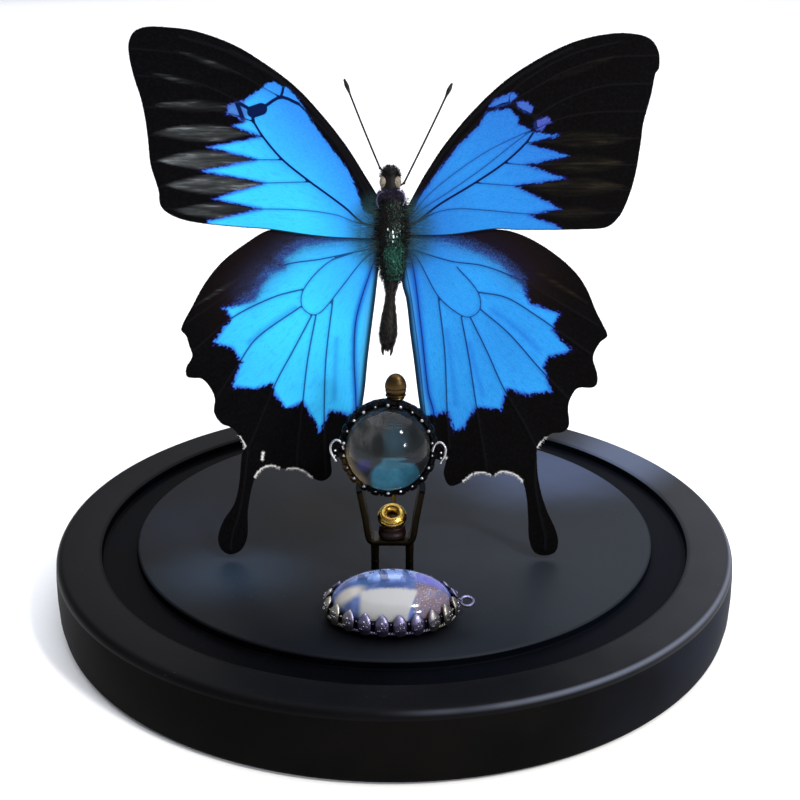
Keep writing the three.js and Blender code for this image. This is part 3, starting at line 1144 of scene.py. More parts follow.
@dataclass
class Base:
    """The turned base: a flat disc, a groove for the dome's rim and an outer ring with round shoulders."""

    radius: float = 80.0
    shoulder: float = 16.2
    ring_inner: float = 69.4
    disc_radius: float = 61.4
    groove_floor: float = 13.54
    rounding: float = 1.8
    segments: int = 420

    def skin(self) -> Shape:
        """Turns the base, with a finish each for the ring, the groove, the disc and the underside.

        Returns:
            The turned base.
        """
        r, top, s = self.rounding, DISC_TOP, self.shoulder
        quarter = np.radians(np.linspace(-90, 0, 9))
        foot = [(self.radius - 0.5 - r + r * math.cos(q), r + r * math.sin(q)) for q in quarter]
        crown = [
            (self.radius - 0.3 - r + r * math.cos(q), s - r + r * math.sin(q)) for q in quarter + math.pi / 2
        ]
        side = [(self.radius - 0.12, 3.6), (self.radius, s / 2), (self.radius - 0.1, 12.2)]
        ring = soften(
            [
                crown[-1], (self.ring_inner + 4, s), (self.ring_inner + 0.8, top + 0.3),
                (self.ring_inner, top - 0.2), (self.ring_inner, self.groove_floor),
                (self.disc_radius, self.groove_floor), (self.disc_radius, top - 0.4),
                (self.disc_radius - 0.4, top), (20, top),
            ],
            [0, 1.6, 0.35, 0.2, 0.35, 0.35, 0.25, 0.25, 0],
            closed=False,
        )
        under = [(0.01, 0), (self.radius - 8, 0), (self.radius - 7.9, 0.02)]
        rows = [*under, *foot, *side, *crown, *ring[1:-1], (50, top), (30, top), (12, top), (0.01, top)]
        made = lathe(np.array(rows), self.segments)
        middle = made.points[made.triangles].mean(axis=1)
        reach, height = np.hypot(middle[:, 0], middle[:, 1]), middle[:, 2]
        made.finish = np.where(reach < self.disc_radius - 0.05, 2, 0)
        made.finish[(reach >= self.disc_radius - 0.05) & (reach < self.ring_inner + 0.1) & (height > 5)] = 1
        made.finish[(reach < self.radius - 8) & (height < 5)] = 3
        made.finish[(reach > self.radius - 4) & (height < self.shoulder - 1.9)] = 4
        return made

    def build(self) -> None:
        """Makes the base and dresses it."""
        finishes = [
            # The ring, groove, disc and side are one black lacquer in four copies that differ in painted
            # light: sheen towards the lit right, a highlight on the ring's edge, sheen patches and shadow.
            Lacquer(
                "ring_lacquer", "060607", "09090b", 0.42, 0.035, 0.25, "2b2c30", (0.9, 0.1, 10.0, 85.0), 0.22,
                # a painted sheen patch at the right back
                [((62, 40), (20, 26), "4a5266")],
            ),
            # the groove painted darker than the ring and disc: painted shade in the recess
            Lacquer("groove_lacquer_painted_shade", "010102", "020306", 0.5, 0.018, 0.1, "070910", (0.9, 0.1, -20.0, 70.0)),
            Lacquer(
                "disc_lacquer", "050609", "0a0b10", 0.42, 0.045, 0.25, "1d2127",
                (0.9, 0.25, -55.0, 40.0), 0.0,
                [
                    ((-50, 2), (18, 22), "11141f"), ((-36, -26), (22, 17), "1d2733"),
                    ((-18, 6), (20, 24), "0c0b0a"), ((40, 34), (34, 30), "38425a"),
                    # at the back a painted sheen patch; under the pendant a painted shadow
                    ((4, 52), (26, 16), "262e3b"), ((0, -51), (20, 9), "030304"),
                ],
            ),
            Felt(),
            # the side, with painted sheen towards the right
            Lacquer(
                "side_lacquer", "080808", "0c0b0a", 0.45, 0.007, 0.06, "1b1f2b", (0.9, 0.1, 20.0, 85.0), 0.0,
                [((82, -14), (11, 24), "3d4453")],
            ),
        ]
        materials = [finish.made() for finish in finishes]
        make_piece("plinth", self.skin(), materials, crease=50)


# ---------------------------------------------------------------- butterfly


@dataclass
class Wing:
    """One wing: a thin shell stiffened by veins, sagging a little between them, with hair round its rim."""

    name: str
    side: int
    depth: float
    blue: Blue
    pivot: tuple[float, float]
    outline: Points
    blue_edge: Points
    veins: Sequence[tuple[float, Points]]
    smoke: Sequence[tuple[float, ...]] = ()
    veil: Points = ()
    hem: Points = ()
    fold: Points = ()
    white: Sequence[Points] = ()
    lunules: Points = ()
    spacing: float = 0.36
    thickness: float = 0.13
    raise_angle: float = 3.0
    hair_count: int = 2000
    ink: float = 0.62
    fray: float = 0.9
    deepen: float = 0.0
    front_shade: float = 0.0
    # lines along the wing's pleats, where painted shade lies
    shaded_pleats: Sequence[Points] = ()
    islands: Sequence[tuple[float, Points]] = ()

    def __post_init__(self) -> None:
        """Draws the outline and the veins."""
        self.rim = curve(self.outline, self.spacing, closed=True)
        self.lines = [(width, curve(points, 1.2)) for width, points in self.veins]

    def vein_reach(self, spots: Array) -> Array:
        """Measures how far spots are from the side of the nearest vein, less than 0 on it."""
        return np.min([near(spots, line) - width for width, line in self.lines], axis=0)

    def sheet(self) -> tuple[Array, Array]:
        """Fills the outline with triangles whose edges follow the veins.

        Returns:
            Points across and up, and triangles.
        """
        s = self.spacing
        spots, edges = [self.rim], [(i, (i + 1) % len(self.rim)) for i in range(len(self.rim))]
        start = len(self.rim)
        for _, line in self.lines:
            path = curve(line, s)
            kept = depth_in(path, self.rim) > 0.5 * s
            order = np.cumsum(kept) - 1 + start
            edges += [(order[i], order[i + 1]) for i in range(len(path) - 1) if kept[i] and kept[i + 1]]
            spots.append(path[kept])
            start += int(kept.sum())
        low, high = self.rim.min(axis=0), self.rim.max(axis=0)
        across, up = np.meshgrid(np.arange(low[0], high[0], s), np.arange(low[1], high[1], s * 0.866))
        across[1::2] += s / 2
        lattice = np.stack([across.ravel(), up.ravel()], -1)
        lattice = lattice[depth_in(lattice, self.rim) > 0.6 * s]
        clear = np.min([near(lattice, line) for _, line in self.lines], axis=0)
        spots.append(lattice[clear > 0.55 * s])
        flat = [Vector(p) for p in np.concatenate(spots)]
        points, _, faces, *_ = delaunay_2d_cdt(flat, [(int(a), int(b)) for a, b in edges], [], 1, 1e-5)
        return np.array([p[:] for p in points]), np.array([f for f in faces if len(f) == 3])

    def mean_depth(self, spots: Array) -> Array:
        """Gives how far back the middle of the shell lies at spots across and up.

        Args:
            spots: points across and up.

        Returns:
            The depth of each.
        """
        u, v = spots.T
        rise = math.tan(math.radians(self.raise_angle)) * (np.abs(u) - 4)
        swell = 0.22 * np.sin(u / 8.5 + self.side) * np.sin(v / 9.5)
        pleat = 0.16 * np.exp(-np.maximum(self.vein_reach(spots), 0) / 1.1)
        return self.depth - rise + swell - pleat

    def values(self, spots: Array) -> dict[str, Array]:
        """Works out the pattern's values at spots across and up.

        Args:
            spots: points across and up.

        Returns:
            The values by name.
        """
        u, v = spots.T
        offset = spots - self.pivot
        values = {
            "field": np.clip(depth_in(spots, np.array(self.blue_edge)), -9, 9),
            "vein": np.clip(self.vein_reach(spots), -1, 3),
            "rim": np.clip(near(spots, self.rim, closed=True), 0, 12),
            "root": np.hypot(*offset.T),
            "fan": np.arctan2(offset[:, 1], self.side * offset[:, 0]),
            "shade": 0.5 + 0.5 * np.sin(u / 7 + v / 11) * np.cos(v / 6.5 - u / 16),
            "hem": np.zeros(len(u)),
            "ink": np.full(len(u), self.ink),
            "fray": np.full(len(u), self.fray),
            "depth": np.clip(self.deepen + 0.25 * np.cos(v / 9 + u / 17), 0, 1) * (self.deepen > 0),
            "dusk": np.zeros(len(u)),
        }
        behind = (np.abs(u) - 3) * 0.73 - (v - 80) * 0.69
        values["depth"] += self.front_shade * np.clip(1 - behind / 13, 0, 1)
        for dusk, loop in self.islands:
            inside = depth_in(spots, np.array(loop))
            values["field"] = np.maximum(values["field"], np.clip(inside, -9, 9))
            values["dusk"] = np.maximum(values["dusk"], dusk * np.clip(inside + 0.8, 0, 1))
        for width, line in self.lines:
            values["ink"] = np.maximum(
                values["ink"], np.clip(1.5 + width - near(spots, line), 0, 1) * (width > 0.14)
            )
        values["smoke"] = np.zeros(len(u))
        for cu, cv, half_u, half_v, slope, strength in self.smoke:
            rise = v - cv - slope * (u - cu)
            share = np.clip((u - cu) / half_u, -1, 1)
            spread = np.clip((half_v * (1 - share**2) - np.abs(rise)) / 0.9, 0, 1)
            values["smoke"] = np.maximum(values["smoke"], strength * spread * (1 + 0.55 * self.side * share))
        for key, line, width in (
            ("veil", self.veil, 3.4), ("umber", self.veil, 9.0), ("fold", self.fold, 0.75)
        ):
            gone = near(spots, curve(line, 0.8)) / width if line else np.full(len(u), 9.0)
            values[key] = np.exp(-(gone**2))
        # painted shade along the pleats, laid into the fold value
        for line in self.shaded_pleats:
            soft = 0.42 * np.exp(-((near(spots, curve(line, 0.8)) / 0.65) ** 2))
            values["fold"] = np.maximum(values["fold"], soft)
        if self.hem:
            values["hem"] = 0.55 * np.clip(2.6 - near(spots, np.array(self.hem)), 0, 1)
            values["rim"] *= np.where(near(spots, np.array(self.hem)) < 2.6, 0.2, 1.0)
        values["white"] = np.zeros(len(u))
        for line in self.white:
            values["white"] = np.maximum(
                values["white"], np.clip(2.0 - near(spots, curve(line, 0.5)) / 0.16, 0, 1)
            )
        values["lunule"] = np.zeros(len(u))
        for spot in self.lunules:
            values["lunule"] = np.maximum(
                values["lunule"], np.clip(1.6 - np.hypot(*(spots - spot).T) / 1.4, 0, 1)
            )
        return values

    def shell(self) -> Shape:
        """Makes the shell, thinner towards its rim and thicker on its veins.

        Returns:
            The shell, with finish 0 on its upper side and 1 on its under side.
        """
        spots, faces = self.sheet()
        values = self.values(spots)
        half = self.thickness * (0.5 - 0.32 * np.exp(-values["rim"] / 0.5))
        half += 0.05 * np.exp(-(np.maximum(values["vein"], 0) / 0.16) ** 2)
        middle = self.mean_depth(spots)
        front = np.stack([spots[:, 0], middle - half, spots[:, 1]], -1)
        back = np.stack([spots[:, 0], middle + half, spots[:, 1]], -1)
        edges = np.concatenate([faces[:, [0, 1]], faces[:, [1, 2]], faces[:, [2, 0]]])
        known = {(a, b) for a, b in edges.tolist()}
        bare = np.array([(a, b) for a, b in known if (b, a) not in known])
        a, b = bare.T
        n = len(spots)
        wall = np.concatenate([np.stack([b, a, a + n], -1), np.stack([b, a + n, b + n], -1)])
        triangles = np.concatenate([faces, faces[:, ::-1] + n, wall])
        made = shape(np.concatenate([front, back]), triangles)
        made.finish[len(faces) : 2 * len(faces)] = 1
        return made.valued(**{key: np.tile(value, 2) for key, value in values.items()})

    def rim_hair(self, rng: np.random.Generator) -> Shape:
        """Grows the fringe round the rim, white in the notches.

        Args:
            rng: the source of chance.

        Returns:
            The fringe, with finish 2 where dark and 3 where white.
        """
        rim = self.rim
        free = np.abs(rim[:, 0] - self.pivot[0]) > 4.5
        chosen = rng.choice(np.flatnonzero(free), self.hair_count)
        ahead = unit(np.roll(rim, -1, axis=0) - np.roll(rim, 1, axis=0))
        clockwise = within(rim + 0.2 * ahead[:, ::-1] * (1, -1), rim).mean() > 0.5
        outward = ahead[:, ::-1] * ((-1, 1) if clockwise else (1, -1))
        spots = rim[chosen] + ahead[chosen] * rng.uniform(-0.2, 0.2, (self.hair_count, 1))
        spots -= outward[chosen] * 0.12
        depth = self.mean_depth(spots)
        root = np.stack([spots[:, 0], depth, spots[:, 1]], -1)
        chance = rng.normal(0, 0.25, (self.hair_count, 3))
        heading = unit(
            np.stack([outward[chosen, 0], np.zeros(self.hair_count), outward[chosen, 1]], -1) + chance
        )
        pale = np.zeros(self.hair_count, bool)
        for line in self.white:
            pale |= near(spots, curve(line, 0.5)) < 0.5
        length = rng.uniform(0.16, 0.36, (self.hair_count, 1)) * np.where(pale, 2.2, 1.0)[:, None]
        out = np.broadcast_to(np.array([0.0, -1.0, 0.0]), root.shape)
        made = hairs(root, heading, out, length, 0.075, chance * 0.2, 2)
        made.finish = np.repeat(np.where(pale, 3, 2), HAIR_FACES)
        return made.valued(shade=np.repeat(rng.random(self.hair_count), HAIR_POINTS))

    def build(
        self, place: Placement, finishes: Sequence[bpy.types.Material], rng: np.random.Generator
    ) -> None:
        """Makes the wing and dresses it.

        Args:
            place: the butterfly's frame.
            finishes: its upper side, under side, dark fringe and white fringe.
            rng: the source of chance.
        """
        made = join([self.shell(), self.rim_hair(rng)]).placed(place)
        make_piece(self.name, made, finishes, crease=60)


FOREWING_LEFT = Wing(
    name="forewing_left", side=-1, depth=-0.35, blue=Blue.CYAN_LIT, pivot=(-2.5, 74.5),
    outline=[
        (-3.0, 80.5), (-6.9, 87.1), (-10.8, 93.1), (-15.8, 99.4), (-21.7, 105.6), (-28, 110.3),
        (-35.1, 114.5), (-43.4, 117.4), (-49.6, 118.2), (-54.4, 118.2), (-56.9, 117.1), (-58, 114.9),
        (-58, 111.9), (-57.1, 107.7), (-55.4, 101.9), (-54.4, 95.6), (-53.7, 88.4), (-52.1, 83),
        (-51.6, 79.4), (-48.8, 77.2), (-44, 75.9), (-35.6, 75), (-27.7, 74.4), (-18.4, 73.1), (-10.9, 72.5),
        (-3, 72.8), (-1.8, 76.5),
    ],
    blue_edge=[
        (-7.0, 78.8), (-8.3, 83.2), (-10.3, 87.6), (-12.7, 90.6), (-15.8, 94.6), (-17.8, 97.6),
        (-21.0, 102.8), (-23.5, 105.2), (-26.7, 106.7), (-28.5, 105.8), (-32.2, 103.1), (-34.9, 101.2),
        (-35.3, 100.1), (-32.9, 98.2), (-35.9, 97.0), (-29.5, 94.8), (-41.3, 92.4), (-30.6, 89.7),
        (-43.0, 87.2), (-28.9, 84.6), (-40.5, 81.1), (-29.7, 78.9), (-41.6, 76.3), (-40, 70), (-3, 69),
        (0, 74), (-3.5, 76.8),
    ],
    veins=[
        (0.16, [(-3, 75), (-7, 75.9), (-10.9, 79.2), (-15.9, 82.9), (-18.7, 84.9), (-24.7, 89.7), (-29, 94.7),
                (-31, 97.9)]),
        (0.06, [(-3, 75.4), (-8.3, 75.9), (-12.8, 77.6), (-20.8, 78.7), (-29.6, 78.9), (-42, 78.7),
            (-51, 78.9)]),
        (0.06, [(-18.7, 84.9), (-28.9, 84.6), (-42, 84.2), (-52.4, 83.6)]),
        (0.06, [(-24.7, 89.7), (-30.6, 89.7), (-42, 89.5), (-53.6, 89)]),
        (0.06, [(-29, 94.7), (-34, 95.2), (-42, 95.3), (-54.1, 94.8)]),
        (0.06, [(-31, 97.9), (-36, 99.6), (-44, 100.9), (-55.2, 101)]),
        (0.28, [(-31, 97.9), (-31.2, 100.3), (-28.7, 101.2), (-25, 103.3), (-21.1, 101.9)]),
        (1.25, [(-31.1, 100.1), (-29.3, 100.7)]), (0.3, [(-31.2, 100.3), (-34.5, 102.2)]),
        (0.06, [(-31.2, 100.3), (-38, 104.2), (-46, 106.9), (-56.8, 107.8)]),
        (0.06, [(-25, 103.3), (-28, 104.9), (-36, 109.2), (-46, 112.4), (-57.6, 113.6)]),
        (0.4, [(-34.9, 102.6), (-34.0, 100.4), (-33.4, 98.6)]),
        (0.22, [(-25, 103.3), (-24.5, 106), (-30, 110), (-38, 113.6), (-47, 116.2)]),
        (0.15, [(-4, 77.6), (-8, 85.6), (-13.5, 94.2), (-21.1, 101.9)]),
        (0.2, [(-3.4, 79), (-7.8, 87), (-12, 93.4), (-17, 99.6), (-22.8, 105.2), (-29, 109.6), (-36, 113.4)]),
    ],
    front_shade=0.95,
    islands=[
        (0.7, [(-33.4, 102.6), (-36.6, 101.6), (-37.0, 99.6), (-34.6, 98.9), (-33.5, 97.8), (-32.6, 99.4)])
    ],
    smoke=[
        (-43.5, 101.3, 10, 1.5, -0.02, 0.22), (-42, 95.4, 11.5, 2.0, 0.0, 0.62),
        (-41, 89.6, 11.5, 2.3, 0.01, 0.72), (-39.5, 84.2, 11.5, 2.3, 0.01, 0.78),
        (-39, 78.5, 10, 1.9, 0.0, 0.5), (-40.5, 110.6, 8, 0.9, -0.35, 0.2), (-47, 106.8, 7, 0.8, -0.25, 0.14),
    ],
)

FOREWING_RIGHT = Wing(
    name="forewing_right", side=1, depth=-0.35, blue=Blue.AZURE_SHADED, pivot=(1.5, 74.5),
    outline=[
        (1.8, 77.2), (4.7, 82.8), (7.5, 87.6), (11.5, 93.5), (17.9, 100.9), (24.7, 107.1), (32.1, 111.8),
        (39.3, 115.1), (45.5, 116.6), (51, 116.9), (55.7, 115.8), (57.7, 113.2), (58, 109.4), (57.2, 108.1),
        (56.4, 103.8), (54.8, 97.5), (54.2, 92.3), (53.2, 86), (51.6, 80.6), (49.9, 77.2), (47.3, 74.9),
        (42.2, 74.4), (27.4, 74.3), (22.5, 74.5), (11.6, 73.2), (2, 73.5), (0.8, 75.4),
    ],
    blue_edge=[
        (5.1, 80.8), (10.0, 87.6), (14.0, 92.6), (18.9, 97.4), (20.4, 100.2), (21.8, 100.4), (25.5, 100.9),
        (27.5, 99.0), (27.5, 97.5), (28.8, 97.1), (30.5, 95.7), (36.4, 95.1), (29.8, 93.2), (38.9, 90.5),
        (29.2, 88.6), (38.2, 85.5), (26.9, 84.0), (37.1, 78.9), (29.9, 77.6), (37.3, 74.7), (36, 70), (3, 69),
        (0, 74), (3.2, 77.2),
    ],
    veins=[
        (0.16, [(2, 74.8), (5.1, 76.3), (10, 79.9), (18, 84.7), (24.4, 89), (29.2, 93.4), (31.2, 96.3)]),
        (0.06, [(2, 74.9), (5.1, 75.9), (9.1, 78.1), (14, 79), (22, 78.5), (29.8, 77.8), (41, 77.8),
            (50, 78.1)]),
        (0.06, [(18, 84.7), (27, 84), (41, 83.6), (52.2, 83)]),
        (0.06, [(24.4, 89), (29.2, 88.6), (41, 88.8), (53.4, 88.4)]),
        (0.06, [(29.2, 93.4), (34, 93.6), (43, 94.2), (54, 94.2)]),
        (0.06, [(31.2, 96.3), (36, 98.4), (44, 99.9), (55.2, 100)]),
        (0.3, [(31.2, 96.3), (31, 99), (28.3, 100.3), (25.4, 102), (20.8, 100.4)]),
        (0.06, [(31, 99), (38, 103), (46, 105.6), (56.6, 106)]),
        (0.06, [(25.4, 102), (30, 104.8), (38, 109), (47, 111.6), (57.4, 112)]),
        (0.06, [(25.4, 102), (25.8, 104.4), (32, 109), (40, 112.8), (49, 115)]),
        (0.05, [(2.6, 75.6), (5.8, 78.6), (12.6, 83.0), (20.2, 88.3), (26.3, 93.1), (30.8, 96.4)]),
        (0.04, [(3.6, 77.4), (8, 82.4), (14.4, 87.5), (21, 91.8), (27.6, 95.0), (30.8, 96.4)]),
        (0.15, [(2.8, 76.6), (6.4, 83), (12.8, 91.8), (20.8, 100.4)]),
        (0.2, [(2.2, 76.6), (6, 84), (12, 92.8), (18.4, 100.2), (25.4, 106.4), (32.6, 110.8), (39, 113.9)]),
    ],
    deepen=0.5,
    islands=[
        (0.25, [(21.0, 101.4), (22.1, 102.7), (24.0, 103.6), (25.9, 104.4), (27.4, 104.1), (26.9, 103.1),
                (25.7, 102.1), (24.0, 101.6), (22.5, 101.0)]),
        (0.6, [(27.0, 102.1), (27.9, 102.6), (29.5, 102.1), (30.7, 101.0), (30.2, 99.9), (28.7, 100.1),
            (27.6, 101.0)]),
        (0.9, [(31.0, 97.3), (31.7, 98.4), (33.0, 99.1), (34.5, 98.9), (34.8, 97.8), (33.5, 97.3),
            (32.7, 96.1),
               (31.4, 96.2)]),
    ],
    smoke=[
        (42, 94.1, 11, 2.0, 0.0, 0.1), (41, 88.7, 11, 2.2, 0.0, 0.13), (40, 83.7, 12, 2.2, 0.0, 0.12),
        (39, 78, 9, 1.8, 0.0, 0.09), (41, 109.3, 9, 1.0, 0.35, 0.07),
    ],
)

HINDWING_LEFT = Wing(
    name="hindwing_left", side=-1, depth=0.35, blue=Blue.CYAN_LIT, pivot=(-2.5, 72.5),
    outline=[
        (-12, 74.6), (-20, 74.9), (-28, 74.3), (-33.1, 71.4), (-38.3, 67.4), (-42.2, 62.7), (-45.3, 57.2),
        (-47.8, 52.2), (-46.7, 50.7), (-46.1, 48.7), (-45.4, 46.2), (-46.8, 43.5), (-46.6, 41.5), (-43.3, 41),
        (-41.3, 38.7), (-40.5, 36.5), (-40.7, 33.5), (-39.2, 31), (-36.7, 29.8), (-35, 27.8), (-33.9, 25.5),
        (-34.6, 23.9), (-35.3, 17.2), (-36.5, 12.4), (-39, 8.5), (-40.2, 4.8), (-39.6, 2.1), (-37.6, 0.8),
        (-35, 1.8), (-33.6, 4.8), (-33.4, 10.6), (-32.6, 15.4), (-31.6, 18.6), (-30.1, 20.4), (-28, 21.1),
        (-26.5, 20.6), (-24.2, 20.4), (-22.2, 20.4), (-20.6, 19.7), (-19, 18.5), (-16.4, 17.6), (-14.4, 19.1),
        (-14.4, 23.3), (-13, 25.2), (-10.1, 23.9), (-7.1, 35.8), (-5.9, 46.3), (-4.3, 58.7), (-3.9, 62.1),
        (-3.2, 68), (-2.6, 72),
    ],
    blue_edge=[
        (-6.3, 73.0), (-16.2, 71.9), (-20.4, 71.2), (-25.1, 68.3), (-24.7, 66.1), (-28.1, 64.8),
        (-30.3, 61.4), (-31.7, 58.8), (-35.9, 57.6), (-38.2, 56.9), (-36.7, 54.7), (-40.7, 49.0),
        (-36.5, 48.0), (-34.5, 45.0), (-36.6, 39.4), (-31.6, 38.6), (-27.6, 39.8), (-27.2, 37.8),
        (-24.5, 34.0), (-20.7, 35.7), (-16.9, 28.9), (-14.6, 33.6), (-9.8, 32.7), (-8.5, 34.5), (-4, 32.5),
        (0, 50), (0, 74),
    ],
    veins=[
        (0.07, [(-3.5, 70.6), (-7.7, 69.7), (-16.2, 67.9), (-24.7, 66.5), (-33, 62.6), (-42.2, 56.6),
            (-46.4, 53.8)]),
        (0.06, [(-3.6, 69.8), (-6.3, 68.4), (-12, 61.4), (-16.3, 56.2), (-18.5, 55.4), (-20.8, 57.4),
                (-20.3, 61.2), (-15, 67), (-9.5, 69.2)]),
        (0.09, [(-18.5, 55.4), (-23, 47), (-26.7, 40.2), (-30.6, 31), (-33.2, 25)]),
        (0.09, [(-17.6, 55.4), (-19.6, 45), (-20.7, 35.9), (-21.8, 27), (-22.2, 20.8)]),
        (0.09, [(-20.8, 57.4), (-30.9, 50.2), (-34.8, 44.8), (-40, 37)]),
        (0.09, [(-20.3, 61.2), (-27, 59.4), (-36.4, 54.7), (-45, 47.4)]),
        (0.09, [(-13.8, 58.8), (-15.4, 46), (-15.9, 34), (-15.8, 26), (-15.6, 18.6)]),
        (0.06, [(-3.6, 68.8), (-4.5, 67.5), (-8.4, 55.3), (-9.1, 46.8), (-8.7, 34.5), (-9.2, 26)]),
        (0.13, [(-33.2, 25), (-34, 18), (-35.2, 11), (-37, 5), (-37.4, 2)]),
    ],
    fray=1.7,
    ink=0.8,
    smoke=[(-36.5, 62.5, 9.5, 0.8, 0.62, 0.26)],
    veil=[(-6, 73.6), (-16, 72.4), (-21, 71.2), (-25.6, 67.8), (-29.6, 64.2), (-32.6, 60.4)],
    shaded_pleats=[[(-13.0, 50), (-13.3, 44.9), (-13.6, 36.4)], [(-22.3, 57.1), (-27.4, 53.6), (-32.8, 49.2)]],
    fold=[(-3.6, 68.8), (-4.5, 67.5), (-8.4, 55.3), (-9.1, 46.8), (-8.7, 34.5), (-9.2, 26)],
    hem=[(-9.6, 25), (-7.1, 35.8), (-5.9, 46.3), (-4.3, 58.7), (-3.9, 62.1), (-3.2, 68), (-2.6, 72)],
    white=[
        [(-35.0, 27.8), (-33.9, 25.5)], [(-31.5, 18.6), (-30.1, 20.4), (-28.0, 21.1), (-26.5, 20.6)],
        [(-24.2, 20.4), (-22.2, 20.4), (-20.6, 19.7), (-19.0, 18.5)],
        [(-14.2, 24.1), (-13.0, 25.2), (-10.1, 23.9)], [(-29.8, 24.2), (-30.0, 22.6)],
    ],
    lunules=[(-41.5, 53), (-40, 46), (-37.4, 38), (-31, 30), (-25, 26), (-18, 24.5), (-11.6, 30)],
)

HINDWING_RIGHT = Wing(
    name="hindwing_right", side=1, depth=0.35, blue=Blue.AZURE_SHADED, pivot=(1.5, 72.5),
    outline=[
        (12, 74.9), (22.6, 74.5), (26.6, 73.9), (31.3, 71.9), (36.4, 68.6), (40.7, 64.7), (43.2, 61),
        (45.2, 56.3), (46.7, 53.4), (47.8, 50.7), (46.2, 49.2), (44.7, 46), (45.7, 42.1), (45.7, 40.1),
        (44.8, 39.1), (41.4, 38.9), (39.9, 36.9), (39.3, 34.6), (39.5, 30.3), (38, 28.9), (35.5, 28.5),
        (32.6, 25.5), (32.3, 23.3), (32.9, 17.2), (34.6, 11.3), (36.7, 6.7), (37.4, 3.7), (36.7, 1.3),
        (34.2, 0.5), (32, 1.3), (30.8, 4.3), (30.5, 9.6), (30.1, 14.1), (29.2, 17.5), (27.3, 19.1),
        (24.5, 19.7), (22.5, 18.9), (20.4, 19.5), (18, 19.1), (15.9, 17.5), (12.7, 16.4), (11.3, 19.1),
        (11.8, 22.8), (10.4, 24.4), (8.1, 23.8), (5.8, 34.5), (4.4, 45.2), (3.6, 51), (2.7, 58.7),
        (1.8, 62.1), (1.4, 68), (1.2, 72),
    ],
    blue_edge=[
        (12.4, 72.1), (17.9, 70.3), (23.9, 67.4), (28.7, 62.3), (30.5, 58.1), (37.3, 55.8), (35.7, 52.0),
        (40.2, 47.3), (34.9, 45.9), (33.8, 43.9), (35.4, 38.0), (30, 37.2), (25.5, 38.7), (24.2, 33.8),
        (18.5, 34.5), (16.1, 30.2), (13.6, 28.6), (12.2, 33.4), (7.3, 32.4), (3, 32), (-1, 50), (0, 73.4),
        (6, 73.2),
    ],
    veins=[
        (0.07, [(2, 70.4), (4.2, 69.9), (12.8, 67.4), (20.2, 66.3), (29, 62.8), (38, 57.6), (45.8, 53)]),
        (0.06, [(2, 70), (4.7, 68.7), (9.9, 59.6), (14.2, 55.8), (17, 54.9), (19.3, 56.7), (18.8, 60.5),
                (14.1, 66.1)]),
        (0.09, [(18.8, 60.5), (25.3, 59.2), (33, 54.5), (36.6, 52), (44.6, 46.4)]),
        (0.09, [(19.3, 56.7), (25.9, 51.1), (33.1, 43), (39.4, 36.6)]),
        (0.09, [(17.1, 54.9), (21, 47), (24.6, 39.1), (29.4, 31), (32.4, 25)]),
        (0.09, [(15.1, 54.9), (17, 45), (18.5, 35.4), (20, 27), (21.2, 19.6)]),
        (0.09, [(9.9, 59.6), (11.4, 47), (12, 33.6), (12.6, 25)]),
        (0.03, [(2.2, 68), (4.0, 58), (5.6, 46), (6.7, 36), (7.6, 28)]),
        (0.06, [(2.4, 69.4), (3.8, 68.4), (6, 53), (7.7, 38.1), (9, 32.9), (9, 26)]),
        (0.13, [(32.4, 25), (32, 18), (33, 11), (34.4, 5), (34.4, 2)]),
    ],
    fray=1.7,
    ink=0.8,
    smoke=[(35.5, 62.8, 9, 0.8, -0.6, 0.22)],
    veil=[(6, 74), (12.4, 72.8), (18, 71.4), (24.2, 68.4), (28.4, 64.4)],
    shaded_pleats=[
        [(11.8, 52), (12.6, 46), (14.0, 35.2)], [(16.9, 49), (18.2, 43.6), (20, 37.3)],
        [(22.1, 56.5), (27.6, 52.4), (32.5, 47.6)], [(3.6, 66), (5.2, 54), (5.9, 40)],
    ],
    fold=[(2.4, 69.4), (3.8, 68.4), (6, 53), (7.7, 38.1), (9, 32.9), (9, 26)],
    hem=[(7.6, 25), (5.8, 34.5), (4.4, 45.2), (3.6, 51), (2.7, 58.7), (1.8, 62.1), (1.4, 68), (1.2, 72)],
    white=[
        [(34.6, 27.5), (32.6, 25.5)], [(29.1, 17.7), (27.3, 19.1), (24.5, 19.7), (23.2, 18.9)],
        [(21.8, 18.9), (20.4, 19.5), (18.0, 19.1), (15.9, 17.5)], [(11.8, 22.8), (10.4, 24.4), (8.1, 23.8)],
    ],
    lunules=[(41.5, 53), (40, 45), (36.6, 36), (30, 30), (24.6, 25.6), (17.6, 24), (10.6, 30)],
)


